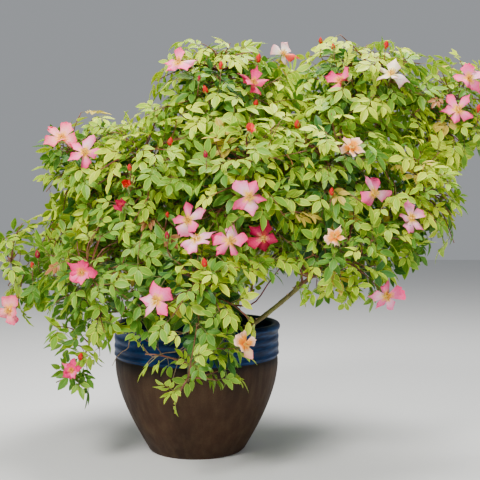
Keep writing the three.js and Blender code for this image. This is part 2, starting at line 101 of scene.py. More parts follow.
def bough(name, to, radius, tip, **more):
    """A limb's row: the mass it goes to, its radii, where it starts and how it bends."""
    return dict(name=name, to=to, radius=radius, tip=tip, **more)


LIMBS = [
    bough("cane_front_right", "right", 6.8, 3.8, seat=36, via=[(128, -138, 323), (286, -188, 455)]),
    bough("cane_centre", "centre", 6, 3.6, seat=30, arch=30),
    bough("cane_top", "top_left", 6.2, 3.2, via=[(84, 0, 520)]),
    bough("cane_mid_right", "centre_right", 5.8, 3.4, seat=20, arch=34),
    bough("cane_left", "mid_left", 5.8, 3.4, arch=24),
    bough("cane_low_left", "left_low", 5.4, 3.2, seat=34, arch=44),
    bough("cane_front", "pot_front", 4.8, 3, seat=34, via=[(4, -196, 338), (-2, -262, 350)]),
    bough("cane_back_left", "back_left", 5.6, 3.2, arch=40),
    bough("cane_back_right", "back_right", 5.8, 3.2, seat=30, arch=30),
    bough("cane_back", "back_mid", 5.6, 3.2, arch=30),
    bough("lateral_low_mid", "low_mid", 3.8, 2.8, on=("cane_centre", 0.3), arch=16),
    bough("lateral_heart", "heart", 3.6, 2.8, on=("cane_back", 0.4), arch=4),
    bough("lateral_left_top", "left_top", 3.8, 2.8, on=("cane_left", 0.55), arch=20),
    bough("lateral_far_left", "far_left", 3.8, 2.8, on=("cane_low_left", 0.42), arch=34),
    bough("lateral_droop", "left_droop", 3.2, 2.6, on=("lateral_far_left", 0.5), arch=20),
    bough("lateral_low_right", "low_right", 3.8, 2.8, on=("cane_front_right", 0.58), arch=6),
    bough("lateral_right_tip", "right_tip", 3.6, 2.6, on=("cane_front_right", 0.78), arch=-20),
    bough("lateral_top_right", "top_right", 3.8, 2.8, on=("cane_mid_right", 0.56), arch=18),
    bough("lateral_back_top", "back_top", 3.8, 2.8, on=("cane_back", 0.55), arch=16),
    bough("lateral_back_low", "back_low", 3.6, 2.6, on=("cane_back", 0.3), arch=24),
    bough("pruned_stub", None, 4.3, 4, on=("cane_mid_right", 0.2), reach=(44, -30, 26)),
]


def foliage(name, centre, reach, blooms=(), buds=(), **more):
    """A mass's row. Blooms are places on its outer side, tone, how far open and a small one's size."""
    return dict(name=name, centre=centre, reach=reach, blooms=blooms, buds=buds, **more)


MASSES = [
    foliage("top_left", (62, -105, 872), (166, 149, 160),
            [(-93, 58, "pink", 1), (75, 9, "magenta", 0.8, 0.9), (148, 94, "white", 0.8, 0.9)],
            [(85, 56), (3, 36), (-46, 10), (-28, -17), (80, -44)]),
    foliage("top_right", (392, -75, 878), (170, 151, 158), [(60, 27, "cream", 1), (-56, 10, "rose", 0.9)],
            [(49, 86), (-96, 105), (-69, 85)]),
    foliage("right_tip", (625, -20, 838), (134, 130, 151), [(23, 69, "pink", 1), (-6, -7, "pink", 1)],
            [(42, -14)]),
    foliage("left_top", (-262, -100, 704), (130, 124, 130), [(-36, 56, "salmon", 0.9), (18, 23, "pink", 1)]),
    foliage("mid_left", (-96, -180, 662), (158, 141, 170),
            [(-42, -12, "red", 0.3, 0.6), (-52, -57, "magenta", 0.4, 0.7)], [(51, 73), (-34, 18), (44, -83)]),
    foliage("centre", (112, -245, 655), (156, 134, 153),
            [(15, -32, "pink", 1), (45, -119, "crimson", 1, 0.9), (17, 111, "coral", 0.3, 0.55),
             (-116, -81, "pink", 1)], [(-76, 50)]),
    foliage("centre_right", (300, -195, 680), (164, 147, 158),
            [(46, 50, "peach", 0.8, 0.75), (99, -47, "pink", 1)], [(-68, 92), (3, -54)]),
    foliage("right", (494, -140, 608), (147, 141, 153), [(-8, -30, "blush", 1, 0.88)]),
    foliage("left_low", (-186, -225, 432), (153, 139, 147), [(-41, 32, "rose", 0.6)], shade=0.1),
    foliage("far_left", (-400, -80, 462), (122, 120, 118), [(-39, -102, "salmon", 0.9)], [(42, 23), (30, 1)],
            density=0.8, leaf=1.25, shade=0.1),
    foliage("low_mid", (22, -275, 425), (160, 139, 149),
            [(-6, 109, "blush", 1), (65, 105, "pink", 1), (-88, -19, "pink", 1)], [(14, 52), (-68, 109)]),
    foliage("low_right", (318, -235, 502), (175, 141, 134),
            [(-10, 36, "peach", 0.8, 0.65), (113, -96, "pink", 1)]),
    foliage("left_droop", (-290, -150, 236), (91, 101, 124), [(20, -1, "rose", 0.6, 0.75)], [(37, 22)],
            density=0.6, leaf=1.4, shade=0.27),
    foliage("pot_front", (-2, -318, 262), (164, 113, 124), [(120, 52, "peach", 0.9, 0.85)],
            density=0.22, shade=0.25),
    foliage("heart", (78, 10, 640), (164, 149, 156)),
    foliage("back_left", (-235, 120, 550), (179, 166, 175), [(-40, 10, "pink", 1)], [(30, 60)], back=True),
    foliage("back_mid", (20, 215, 600), (170, 153, 166), [(20, -10, "apricot", 1)], [(-50, 50)], back=True),
    foliage("back_right", (300, 150, 590), (183, 166, 175), [(10, 30, "rose", 1), (-60, -50, "pink", 0.8)],
            [(60, 60)], back=True),
    foliage("back_top", (170, 120, 820), (170, 151, 160), [(-20, 20, "cream", 1)], [(60, 70)], back=True),
    foliage("back_low", (20, 285, 420), (179, 134, 141), [(0, 10, "pink", 1)], [(60, 10)], back=True),
]
CENTRES = np.array([mass["centre"] for mass in MASSES], float)
REACHES = np.array([mass["reach"] for mass in MASSES], float)
POWERS = REACHES.prod(axis=1) ** (2 / 3)
STRIPS = 2 * MASS_MARGIN * np.linalg.norm(CENTRES[:, None] - CENTRES[None], axis=2)
BOX_LOW = np.array(cad_bounds[0], float) / MM
BOX_HIGH = np.array(cad_bounds[1], float) / MM
BOX_SLACK = 12  # how far a leaf's tip may pass the solids' box
FIELD_FALL = 2.4  # how fast a mass's reach fades beyond its edge
FLOWER_REACH = 1.25  # how far out petals may go, as a part of the masses' reach
# Open spaces without leaves as middles and reaches: round the stub, before the band, over the low left boughs
OPENINGS = np.array([[178, -150, 396], [-126, -230, 282], [-205, -170, 512]], float)
OPENING_REACHES = np.array([[56, 240, 72], [56, 120, 40], [62, 170, 26]], float)

# Twigs
SPACE_PER_BRANCH = 3.0e5  # cubic millimetres of a mass's space for one branch
BRANCH = dict(radii=(2.1, 1.0), count=8, sides=5, start_leaf=0.3, scale=1.0, youth=False)
SHOOT = dict(radii=(1.2, 0.7), count=5, sides=4, start_leaf=0.35, scale=0.95, youth=True)
SHOOT_LENGTH = (45, 105)
SHOOT_APART = 38  # along a branch
SHOOTS_WITHIN = 0.98  # part of the crown's reach
LEAF_STEP = 20.5  # between two leaves along a twig
LEAF_SIZES = (0.62, 1.04)
LEAF_TRIES = 3  # ways in which a leaf is tried before its place stays bare
LEAF_TURN = 2.4  # radians round the twig from one leaf to the next
LEAF_HANGS = 0.6  # how much more a leaf droops that points out of the crown
LIMB_CLEAR = 3
YOUNG_ABOVE = 480  # bronze young leaves grow only higher than this
LEAFLET_APART = 10
FORK_PLACES = np.arange(0.12, 1.0, 0.08)  # where branches may fork from a mass's stalk
LEAF_REACH = 1.03  # as FLOWER_REACH, for leaves
FLOWER_SEED, BRANCH_SEED, OUTER_LEAF_SEED = 400, 700, 900
BLOOM_FREE_LAYERS = (0, 13, 26, 40, 55, 70)  # before a bloom, where leaflets are kept off
BUD_FREE_LAYERS = (0, 12, 24)

# Compound leaves
LEAFLET_LENGTH = 40
LEAFLET_WIDTH = 18.5
RACHIS_LENGTH = 42
RACHIS_RADIUS = 0.75

# Blooms
PETAL_LENGTH = 40
PETAL_WIDTH = 33
BUD_LENGTH = 24
BLOOM_REACH, BUD_REACH = 34, 10  # how far round its middle a flower has to fit
BLOOM_DEPTH, BUD_DEPTH = 9, 6  # from its middle back to its stalk's end
FLOWER_OFF_POT, FLOWER_OFF_LIMBS = 10, 8


def colour(text):
    """Linear colour from hex text."""
    parts = [int(text[i:i + 2], 16) / 255 for i in (0, 2, 4)]
    linear = [c / 12.92 if c <= 0.04045 else ((c + 0.055) / 1.055) ** 2.4 for c in parts]
    return (*linear, 1)


# Leaf tones as margin, blade and midrib, from the most sunlit to the most shaded: light and shade painted
# into the leaves' colours
LEAF_TONES = {
    "lime": ("f0ee4c", "b6d014", "d4e040"),
    "light": ("dee446", "92b81c", "b4ce3a"),
    "fresh": ("b2c846", "70a026", "90b238"),
    "mid": ("82a23e", "528426", "6e9638"),
    "deep": ("5a8640", "386a26", "527c3a"),
    "inner": ("3e6830", "2a4e22", "3e6032"),
    "bronze": ("c08e54", "9c6438", "a44e3a"),
    "yellowing": ("e0d05c", "c8ad3a", "d6cc74"),
}
SUN_ORDER = ("inner", "deep", "mid", "fresh", "light", "lime")
SUN_LIMITS = (0.2, 0.32, 0.46, 0.62, 0.8)
SHADE_GROWS = 0.27  # how fast the light fades inside the crown
OUTER_SKIN = 0.8  # no deeper than this are leaves without shade
SPRAY_SHARE = 0.72  # of a spray's leaves have the spray's tone
BRONZE_SHARE = 0.08
BRONZE_SIZE = 0.72
YELLOWING_SHARE = 0.012
# Petal tones as base, middle and edge
PETAL_TONES = {
    "pink": ("ffc020", "ff74ac", "ff2e80"),
    "blush": ("ffce44", "ffb6d2", "ff66a4"),
    "salmon": ("ffb020", "ff9a9e", "ff4e82"),
    "rose": ("ff9a50", "fa3a88", "d80e60"),
    "magenta": ("f08a70", "de1a64", "b40840"),
    "crimson": ("d8503c", "b80440", "8c0228"),
    "coral": ("ffa038", "ff5a48", "f2344a"),
    "red": ("ff8430", "ee2018", "ba060e"),
    "peach": ("f07200", "f69600", "ffd2bc"),
    "apricot": ("ff9000", "ffcc8c", "ff9c98"),
    "cream": ("ffd63c", "fff4c6", "ffd0c2"),
    "white": ("fde07a", "fff0ea", "ffb0ba"),
}
PETAL_BANDS = 6
ODD_TONES = {"pink": "blush", "cream": "white", "white": "coral", "peach": "apricot",
             "magenta": "rose", "crimson": "magenta", "rose": "pink", "apricot": "peach"}
ODD_SHARE = 0.34  # of a bloom's petals have the other tone
PIECE_TRIANGLES = 170000  # a joined piece with more is followed by another


# Node materials
def new_material(name):
    material = bpy.data.materials.new(name)
    material.use_nodes = True
    return material, material.node_tree, material.node_tree.nodes["Principled BSDF"]


def feed(tree, made, inputs):
    """Other nodes' outputs, or plain values, into a node's sockets by name or number."""
    for socket, value in inputs.items():
        if isinstance(value, bpy.types.NodeSocket):
            tree.links.new(value, made.inputs[socket])
        else:
            made.inputs[socket].default_value = value


def node(tree, kind, inputs, **properties):
    made = tree.nodes.new(kind)
    for key, value in properties.items():
        setattr(made, key, value)
    feed(tree, made, inputs)
    return made


def texture(tree, kind, scale, stretch=(1, 1, 1), **inputs):
    """A texture in the object's own coordinates."""
    place = node(tree, "ShaderNodeTexCoord", {}).outputs["Object"]
    mapping = node(tree, "ShaderNodeMapping", {"Vector": place, "Scale": stretch})
    return node(tree, kind, {"Vector": mapping.outputs["Vector"], "Scale": scale, **inputs})


def grain(tree, scale, detail, **more):
    return texture(tree, "ShaderNodeTexNoise", scale, Detail=detail, **more).outputs["Fac"]


def ramp(tree, source, stops):
    made = node(tree, "ShaderNodeValToRGB", {"Fac": source})
    elements = made.color_ramp.elements
    while len(elements) < len(stops):
        elements.new(0.5)
    for element, (place, value) in zip(elements, stops):
        element.position = place
        element.color = colour(value) if isinstance(value, str) else (value, value, value, 1)
    return made.outputs["Color"]


def mix(tree, factor, a, b, kind="MIX"):
    return node(tree, "ShaderNodeMix", {0: factor, 6: a, 7: b}, data_type="RGBA", blend_type=kind).outputs[2]


def bump(tree, shader, height, distance, below=None):
    """Relief of a depth in millimetres, over the relief below. Returns what the next one goes over."""
    made = node(tree, "ShaderNodeBump", {"Distance": distance * MM, "Strength": 1.0, "Height": height})
    if below:
        feed(tree, made, {"Normal": below})
    feed(tree, shader, {"Normal": made.outputs["Normal"]})
    return made.outputs["Normal"]


def living_material(name, tint, roughness, through, scale, relief):
    """A leaf or petal: its own plain colour, some light through it, and a fine uneven surface."""
    material, tree, shader = new_material(name)
    uneven = grain(tree, scale, 3)
    span = ramp(tree, uneven, [(0.3, roughness - 0.08), (0.7, roughness + 0.1)])
    feed(tree, shader, {"Base Color": tint, "Specular IOR Level": 0.25, "Roughness": span})
    bump(tree, shader, uneven, relief)
    glow = node(tree, "ShaderNodeBsdfTranslucent", {"Color": tint})
    both = node(tree, "ShaderNodeMixShader", {0: through, 1: shader.outputs[0], 2: glow.outputs[0]})
    feed(tree, tree.nodes["Material Output"], {"Surface": both.outputs[0]})
    return material


def leaf_materials(tone):
    return [living_material(f"leaf_{tone}_{part}", colour(text), 0.42, 0.2, 260, 0.5)
            for part, text in zip(("margin", "blade", "midrib"), LEAF_TONES[tone])]


def petal_materials(tone):
    """Bands from foot to edge, whose colours run from base over middle to edge."""
    channels = np.array([colour(text) for text in PETAL_TONES[tone]]).T
    tints = [np.interp(np.linspace(0, 1, PETAL_BANDS), (0, 0.4, 1), channel) for channel in channels]
    return [living_material(f"petal_{tone}_{band}", tuple(tint), 0.5, 0.1, 420, 0.35)
            for band, tint in enumerate(np.transpose(tints))]


def streaked(name, stops, scale, relief=0.2, roughness=0.5):
    material, tree, shader = new_material(name)
    streak = grain(tree, scale, 4)
    feed(tree, shader, {"Base Color": ramp(tree, streak, stops), "Roughness": roughness})
    bump(tree, shader, streak, relief)
    return material


def bark_material(name, stops, scale, relief):
    """Lengthwise streaks with small pale pores."""
    material, tree, shader = new_material(name)
    broad = grain(tree, scale * 0.35, 5)
    fine = grain(tree, scale * 3, 4, stretch=(1, 1, 0.25))
    pores = texture(tree, "ShaderNodeTexVoronoi", scale * 3.2, (1, 1, 0.6)).outputs["Distance"]
    dark = ramp(tree, fine, [(0.3, 0.55), (0.65, 1.0)])
    tint = mix(tree, 0.75, ramp(tree, broad, stops), dark, "MULTIPLY")
    tint = mix(tree, ramp(tree, pores, [(0.08, 1.0), (0.16, 0.0)]), tint, colour("a89a78"))
    feed(tree, shader, {"Base Color": tint, "Roughness": ramp(tree, fine, [(0.3, 0.75), (0.7, 0.5)])})
    lower = bump(tree, shader, broad, relief * 2)
    bump(tree, shader, fine, relief, lower)
    return material


def painted_shade_under_band(tree):
    """How much painted shade the body gets under the band: full at the groove, gone in uneven runs a little
    lower.
    """
    split = node(tree, "ShaderNodeSeparateXYZ", {0: node(tree, "ShaderNodeTexCoord", {}).outputs["Object"]})
    runs = grain(tree, 38, 3, stretch=(1, 1, 0.15))
    shifted = node(tree, "ShaderNodeMath", {0: runs, 1: PAINTED_SHADE_RUNS * MM, 2: split.outputs["Z"]},
                   operation="MULTIPLY_ADD")
    return node(tree, "ShaderNodeMapRange", {
        0: shifted.outputs[0], 1: (GROOVE_HEIGHT - 6) * MM, 2: (GROOVE_HEIGHT + 18) * MM, 3: 0.0, 4: 0.8,
    }).outputs[0]


def glaze_material(name, stops, streaks, run_way, run_part, roughness, coat=0.0, painted_shade=None, specular=0.16):
    """Glaze with broad clouds, streaks that are long in one direction, fine specks and, where given, a
    painted shade under the band.
    """
    material, tree, shader = new_material(name)
    cloud = grain(tree, 9, 4, Roughness=0.6)
    streak = grain(tree, 70, 5, stretch=run_way)
    run = ramp(tree, streak, [(0.42, 0.0), (0.8, run_part)])
    tint = mix(tree, run, ramp(tree, cloud, stops), colour(streaks))
    tint = mix(tree, 0.6, tint, ramp(tree, grain(tree, 420, 2), [(0.35, 0.7), (0.6, 1.0)]), "MULTIPLY")
    if painted_shade:
        # Painted shade: the body is darkened under the band, where the band's shadow falls
        tint = mix(tree, painted_shade_under_band(tree), tint, colour(painted_shade))
    span = ramp(tree, streak, [(0.3, roughness + 0.1), (0.7, roughness)])
    feed(tree, shader, {"Base Color": tint, "Roughness": span, "Specular IOR Level": specular,
                        "Coat Weight": coat, "Coat Roughness": 0.12})
    bump(tree, shader, cloud, 0.5)
    return material


def soil_material(name, stops, scale):
    material, tree, shader = new_material(name)
    broad = grain(tree, scale, 6)
    fine = grain(tree, scale * 9, 4)
    crumbs = ramp(tree, fine, [(0.3, 0.35), (0.7, 1.0)])
    tint = mix(tree, 0.6, ramp(tree, broad, stops), crumbs, "MULTIPLY")
    feed(tree, shader, {"Base Color": tint, "Roughness": 0.92})
    bump(tree, shader, fine, 1.0)
    return material


# Meshes
def link(name, data):
    made = bpy.data.objects.new(name, data)
    bpy.context.scene.collection.objects.link(made)
    return made


class Sheaf:
    """Many small pieces that become one joined mesh, or more where they get too many for one."""

    def __init__(self):
        self.parts = []
        self.triangles = math.inf

    def add(self, points, faces, slots=0):
        """faces is a list of arrays of triangles or quads, slots their materials."""
        if self.triangles > PIECE_TRIANGLES:
            self.parts.append(([], {3: [], 4: []}))
            self.count = self.triangles = 0
        if not isinstance(slots, (list, tuple)):
            slots = [slots] * len(faces)
        all_points, blocks = self.parts[-1]
        all_points.append(np.asarray(points, float))
        for block, slot in zip(faces, slots):
            corners = block.shape[1]
            blocks[corners].append((block + self.count, np.broadcast_to(slot, len(block))))
            self.triangles += len(block) * (corners - 2)
        self.count += len(points)

    def make(self, name, materials, record_slot, replaced=(), smooth=True):
        """A piece for each part, with numbers from the second on, in place of the replaced nodes."""
        for number, (all_points, blocks) in enumerate(self.parts, 1):
            blocks = blocks[3] + blocks[4]
            loops = np.concatenate([block.ravel() for block, _ in blocks])
            totals = np.concatenate([np.full(len(block), block.shape[1]) for block, _ in blocks])
            faces = {"loop_start": np.cumsum(totals) - totals,
                     "material_index": np.concatenate([slot for _, slot in blocks])}
            mesh = bpy.data.meshes.new(f"{name}_{number}" if number > 1 else name)
            mesh.vertices.add(sum(len(points) for points in all_points))
            mesh.vertices.foreach_set("co", (np.concatenate(all_points) * MM).astype(np.float32).ravel())
            mesh.loops.add(len(loops))
            mesh.loops.foreach_set("vertex_index", loops.astype(np.int32))
            mesh.polygons.add(len(totals))
            for key, values in faces.items():
                mesh.polygons.foreach_set(key, values.astype(np.int32))
            mesh.polygons.foreach_set("use_smooth", np.full(len(totals), smooth))
            for material in materials:
                mesh.materials.append(material)
            mesh.update(calc_edges=True)
            mesh.validate()
            made = link(mesh.name, mesh)
            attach(made, "root")
            if replaced:
                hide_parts(*replaced)


def length_of(v):
    return math.sqrt(v[0] * v[0] + v[1] * v[1] + v[2] * v[2])


def unit(v):
    return v / max(length_of(v), 1e-9)


def swing(start, end, angle):
    """The direction that is an angle on from start towards end, which is at right angles to it."""
    return start * math.cos(angle) + end * math.sin(angle)


def frame_of(facing, least=0.0):
    """Directions to the side and up of one that faces somewhere."""
    side = unit(np.cross(UP, facing) + least)
    return side, np.cross(facing, side)


def nearest(points, place):
    return points[np.argmin(np.linalg.norm(points - place, axis=1))]


def cross(a, b):
    return np.array([a[1] * b[2] - a[2] * b[1], a[2] * b[0] - a[0] * b[2], a[0] * b[1] - a[1] * b[0]])


def along_line(line, part):
    """The point at a part of a line of evenly spaced points."""
    place = min(max(part, 0.0), 1.0) * (len(line) - 1)
    before = min(int(place), len(line) - 2)
    return line[before] + (line[before + 1] - line[before]) * (place - before)


def strip_quads(rows, columns, closed):
    """Quads of a grid of points, row after row. A closed grid's last column meets its first."""
    row = np.arange(rows - 1)[:, None]
    column = np.arange(columns if closed else columns - 1)[None]
    following = (column + 1) % columns
    a = row * columns + column
    b = row * columns + following
    return np.stack([a, b, b + columns, a + columns], axis=-1).reshape(-1, 4)


def fan(ring, middle, outward):
    following = np.roll(ring, -1)
    columns = (ring, following) if outward else (following, ring)
    return np.stack([*columns, np.full(len(ring), middle)], axis=-1)


def transported(points):
    """Tangents and two normals along a line, without twist."""
    tangents = np.gradient(points, axis=0)
    tangents /= np.linalg.norm(tangents, axis=1)[:, None]
    start = np.cross(tangents[0], UP if abs(tangents[0][2]) < 0.9 else np.array([1.0, 0, 0]))
    normals = [unit(start)]
    for tangent in tangents[1:]:
        normals.append(unit(normals[-1] - tangent * normals[-1].dot(tangent)))
    normals = np.array(normals)
    return tangents, normals, np.cross(tangents, normals)


def add_rings(sheaf, rings, middles, slot):
    """Rings of points, row after row, closed at both ends towards the middles."""
    rows, sides = rings.shape[:2]
    first = np.arange(sides)
    sheaf.add(np.concatenate([rings.reshape(-1, 3), middles]),
              [strip_quads(rows, sides, True), fan(first, rows * sides, False),
               fan(first + (rows - 1) * sides, rows * sides + 1, True)], slot)


def add_tube(sheaf, points, radii, sides, slot=0, relief=None):
    """A tapering tube with closed ends. relief(point, row, radius) is a point's shift outwards."""
    points = np.asarray(points, float)
    radii = np.asarray(radii, float)
    _, normals, binormals = transported(points)
    angles = (np.arange(sides) * 2 * math.pi / sides)[None, :, None]
    ring = normals[:, None] * np.cos(angles) + binormals[:, None] * np.sin(angles)
    skin = points[:, None] + ring * radii[:, None, None]
    if relief:
        shifts = [[relief(point, i, radii[i]) for point in row] for i, row in enumerate(skin)]
        skin += ring * np.array(shifts)[..., None]
    add_rings(sheaf, skin, points[[0, -1]], slot)


# The limbs' curves
class Curve:
    """A centripetal Catmull-Rom curve, read by length."""
    STEPS = 120

    def __init__(self, points):
        points = np.array(points, float)
        padded = np.concatenate([[2 * points[0] - points[1]], points, [2 * points[-1] - points[-2]]])
        weights = np.linspace(0, 1, self.STEPS // (len(points) - 1) + 1)[:, None]
        spans = [self.span(padded[i:i + 4], weights[min(i, 1):]) for i in range(len(points) - 1)]
        self.table = np.concatenate(spans)
        steps = np.linalg.norm(np.diff(self.table, axis=0), axis=1)
        self.lengths = np.concatenate([[0], np.cumsum(steps)])

    @staticmethod
    def span(p, weight):
        gaps = [max(length_of(p[i + 1] - p[i]) ** 0.5, 1e-4) for i in range(3)]
        before = (p[1] - p[0]) / gaps[0] - (p[2] - p[0]) / (gaps[0] + gaps[1]) + (p[2] - p[1]) / gaps[1]
        after = (p[2] - p[1]) / gaps[1] - (p[3] - p[1]) / (gaps[1] + gaps[2]) + (p[3] - p[2]) / gaps[2]
        t0 = before * gaps[1]
        t1 = after * gaps[1]
        square = weight * weight
        cubic = square * weight
        return (p[1] + t0 * weight + (-3 * p[1] + 3 * p[2] - 2 * t0 - t1) * square
                + (2 * p[1] - 2 * p[2] + t0 + t1) * cubic)

    @property
    def length(self):
        return self.lengths[-1]

    def at(self, parts):
        wanted = np.atleast_1d(parts) * self.length
        after = np.clip(np.searchsorted(self.lengths, wanted), 1, len(self.lengths) - 1)
        start = self.lengths[after - 1]
        part = (wanted - start) / (self.lengths[after] - start)
        return self.table[after - 1] + (self.table[after] - self.table[after - 1]) * part[:, None]

    def heading(self, part):
        ends = self.at([max(part - 0.01, 0), min(part + 0.01, 1)])
        return unit(ends[1] - ends[0])

    def spaced(self, count):
        return self.at(np.linspace(0, 1, count + 1))


def seeded_random(seed):
    """The same random numbers from 0 to 1 as the solids have."""
    state = seed

    def draw():
        nonlocal state
        state = (state + 0x6D2B79F5) & 0xFFFFFFFF
        mixed = ((state ^ (state >> 15)) * (state | 1)) & 0xFFFFFFFF
        mixed ^= (mixed + (((mixed ^ (mixed >> 7)) * (mixed | 61)) & 0xFFFFFFFF)) & 0xFFFFFFFF
        return ((mixed ^ (mixed >> 14)) & 0xFFFFFFFF) / 4294967296

    return draw


def in_ellipsoid(points, number, shrink):
    scaled = (np.atleast_2d(points) - CENTRES[number]) / REACHES[number]
    return np.linalg.norm(scaled, axis=1) < shrink


def in_space(points, number, shrink=1.0):
    """Inside the mass's ellipsoid and on its side of the plane to each neighbour."""
    points = np.atleast_2d(points)
    measure = ((points[:, None] - CENTRES[None]) ** 2).sum(axis=2) - POWERS
    own = measure[:, [number]] + STRIPS[number]
    apart = own < measure
    apart[:, number] = True
    return in_ellipsoid(points, number, shrink) & apart.all(axis=1)


def clear_of_pot(points, clearance=POT_CLEAR):
    points = np.atleast_2d(points)
    radial = np.hypot(points[:, 0], points[:, 1])
    return (points[:, 2] > POT_HEIGHT + clearance) | (radial > BAND_RADIUS + clearance)


def find_mass(name):
    return next(i for i, mass in enumerate(MASSES) if mass["name"] == name)


def entry_point(number, root):
    """Where a limb ends, on the way from root to the mass's middle."""
    inward = CENTRES[number] - root
    part = LATERAL_LEAST / np.linalg.norm(inward)
    while part < LIMB_LONGEST and not in_space(root + inward * part, number, LIMB_ENTERS)[0]:
        part += 0.01
    return root + inward * part


limbs = {}


def grow_limb(row):
    number = find_mass(row["to"]) if row["to"] else None
    via = row.get("via", [])
    if "on" in row:
        parent, part = row["on"]
        root = limbs[parent]["curve"].at(part)[0]
    else:
        outward = unit(((via[0] if via else CENTRES[number]) - STEM_TOP) * (1, 1, 0))
        root = STEM_TOP + outward * STEM_TOP_RADIUS * CANE_ROOT - UP * row.get("seat", CANE_SEAT)
    points = [root, *via]
    tip = root + row["reach"] if number is None else entry_point(number, points[-1])
    if "arch" in row:
        points.append(root + (tip - root) * ARCH_AT + UP * row["arch"])
    curve = Curve([*points, tip])
    limbs[row["name"]] = dict(row, curve=curve, line=curve.spaced(10))


for limb_row in LIMBS:
    grow_limb(limb_row)

SEGMENT_STARTS = np.concatenate([limb["line"][:-1] for limb in limbs.values()])
SEGMENT_ENDS = np.concatenate([limb["line"][1:] for limb in limbs.values()])
SEGMENT_RADII = np.concatenate([np.full(10, limb["radius"]) for limb in limbs.values()])


def clear_of_limbs(points, clearance):
    points = np.atleast_2d(points)
    along = SEGMENT_ENDS - SEGMENT_STARTS
    offset = points[:, None] - SEGMENT_STARTS
    part = np.clip((offset * along).sum(axis=2) / (along ** 2).sum(axis=1), 0, 1)
    gaps = np.linalg.norm(offset - part[..., None] * along, axis=2)
    return (gaps > SEGMENT_RADII + clearance).all(axis=1)


def in_box(points):
    return ((points > BOX_LOW - BOX_SLACK) & (points < BOX_HIGH + BOX_SLACK)).all(axis=1)


def length_squared(v):
    return (v * v).sum(axis=-1)


def crown_field(points, reach):
    """How deep points are in the masses' reach together, which fills the valleys between neighbours."""
    scaled = length_squared((points[:, None] - CENTRES[None]) / REACHES[None])
    return np.log(np.exp(FIELD_FALL * (reach ** 2 - scaled)).sum(axis=1) + 1e-9)


def in_bush(points, reach, off_pot, off_limbs):
    """In the solids' box and the masses' reach, and clear of pot and limbs."""
    return (in_box(points).all() and (crown_field(points, reach) > 0).all()
            and clear_of_pot(points, off_pot).all() and clear_of_limbs(points, off_limbs).all())


def fits(points, reach=LEAF_REACH):
    """Room for leaves: in the bush and outside its openings."""
    points = np.atleast_2d(points)
    if (length_squared((points[:, None] - OPENINGS) / OPENING_REACHES) < 1).any():
        return False
    return in_bush(points, reach, POT_CLEAR, LIMB_CLEAR)


NEIGHBOURS = list(itertools.product((-1, 0, 1), repeat=3))


class Crowd:
    """Remembers where leaflets are, so that the next ones keep off them."""

    def __init__(self):
        self.cells = {}

    def cell(self, point):
        return tuple(int(math.floor(c / LEAFLET_APART)) for c in point)

    def free(self, point):
        x, y, z = self.cell(point)
        for dx, dy, dz in NEIGHBOURS:
            for other in self.cells.get((x + dx, y + dy, z + dz), ()):
                gap = (other[0] - point[0]) ** 2 + (other[1] - point[1]) ** 2 + (other[2] - point[2]) ** 2
                if gap < LEAFLET_APART ** 2:
                    return False
        return True

    def put(self, point):
        self.cells.setdefault(self.cell(point), []).append(tuple(point))


# One leaflet: rows along it, columns from edge to edge, with the margin and the midrib as strips of their own
LEAF_ROWS = np.array([0.12, 0.36, 0.63, 0.87])
LEAF_COLUMNS = np.array([-1, -0.83, -0.05, 0.05, 0.83, 1])
LEAF_PROFILE = np.sin(math.pi * LEAF_ROWS ** 0.88) ** 0.95
MARGIN_SLOT, BLADE_SLOT, MIDRIB_SLOT = 0, 1, 2
LEAF_STRIP_SLOTS = np.array([MARGIN_SLOT, BLADE_SLOT, MIDRIB_SLOT, BLADE_SLOT, MARGIN_SLOT])


def leaflet_faces():
    rows = len(LEAF_ROWS)
    columns = len(LEAF_COLUMNS)
    quads = strip_quads(rows, columns, False)
    slots = np.tile(LEAF_STRIP_SLOTS, rows - 1)
    foot = rows * columns
    tip = foot + 1
    near = np.arange(columns - 1)
    far = near + (rows - 1) * columns
    feet = np.stack([np.full(columns - 1, foot), near + 1, near], axis=-1)
    tips = np.stack([np.full(columns - 1, tip), far, far + 1], axis=-1)
    return [quads, feet, tips], [slots, LEAF_STRIP_SLOTS, LEAF_STRIP_SLOTS]


LEAFLET_FACES, LEAFLET_SLOTS = leaflet_faces()
ALONG_ROWS = np.concatenate([np.repeat(LEAF_ROWS, len(LEAF_COLUMNS)), [0, 1]])
ACROSS_ROWS = np.concatenate([np.outer(LEAF_PROFILE, LEAF_COLUMNS).ravel(), [0, 0]])


def leaflet_points(root, along, normal, length, width, fold, curl, sway):
    """A pointed oval that is folded along its midrib and bends down towards its tip."""
    normal = unit(normal - along * along.dot(normal))
    side = cross(normal, along)
    angle = curl * ALONG_ROWS
    forward = length * np.sin(angle) / curl
    down = length * (1 - np.cos(angle)) / curl
    across = ACROSS_ROWS * width / 2
    wave = np.sin(ALONG_ROWS * 9 + sway * 7) * np.abs(ACROSS_ROWS) ** 2 * width * 0.03
    lift = np.abs(across) * fold + wave
    bend = sway * length * 0.12 * ALONG_ROWS ** 2
    return (root + along * forward[:, None] + side * (across + bend)[:, None]
            + normal * (lift - down)[:, None])


# Where leaves, twigs and blooms are gathered
tones = {tone: Sheaf() for tone in LEAF_TONES}
twigs = Sheaf()
stalks = Sheaf()
leaflets = Crowd()
TWIG_SLOT, GREEN_SLOT = 0, 1


def leaf_plan(pairs):
    """Rows of place along the stalk, side and size: the end leaflet, then pair after pair."""
    plan = [(1.0, 0, 1.08)]
    for pair in range(pairs):
        place = 0.84 - pair * 0.46 / max(pairs - 1, 1)
        plan += [(place, side, 0.96 - 0.15 * pair) for side in (-1, 1)]
    return plan


LEAF_PLANS = {pairs: leaf_plan(pairs) for pairs in (1, 2, 3)}
PAIR_CHOICES = (1, 2, 2, 2, 2, 3)


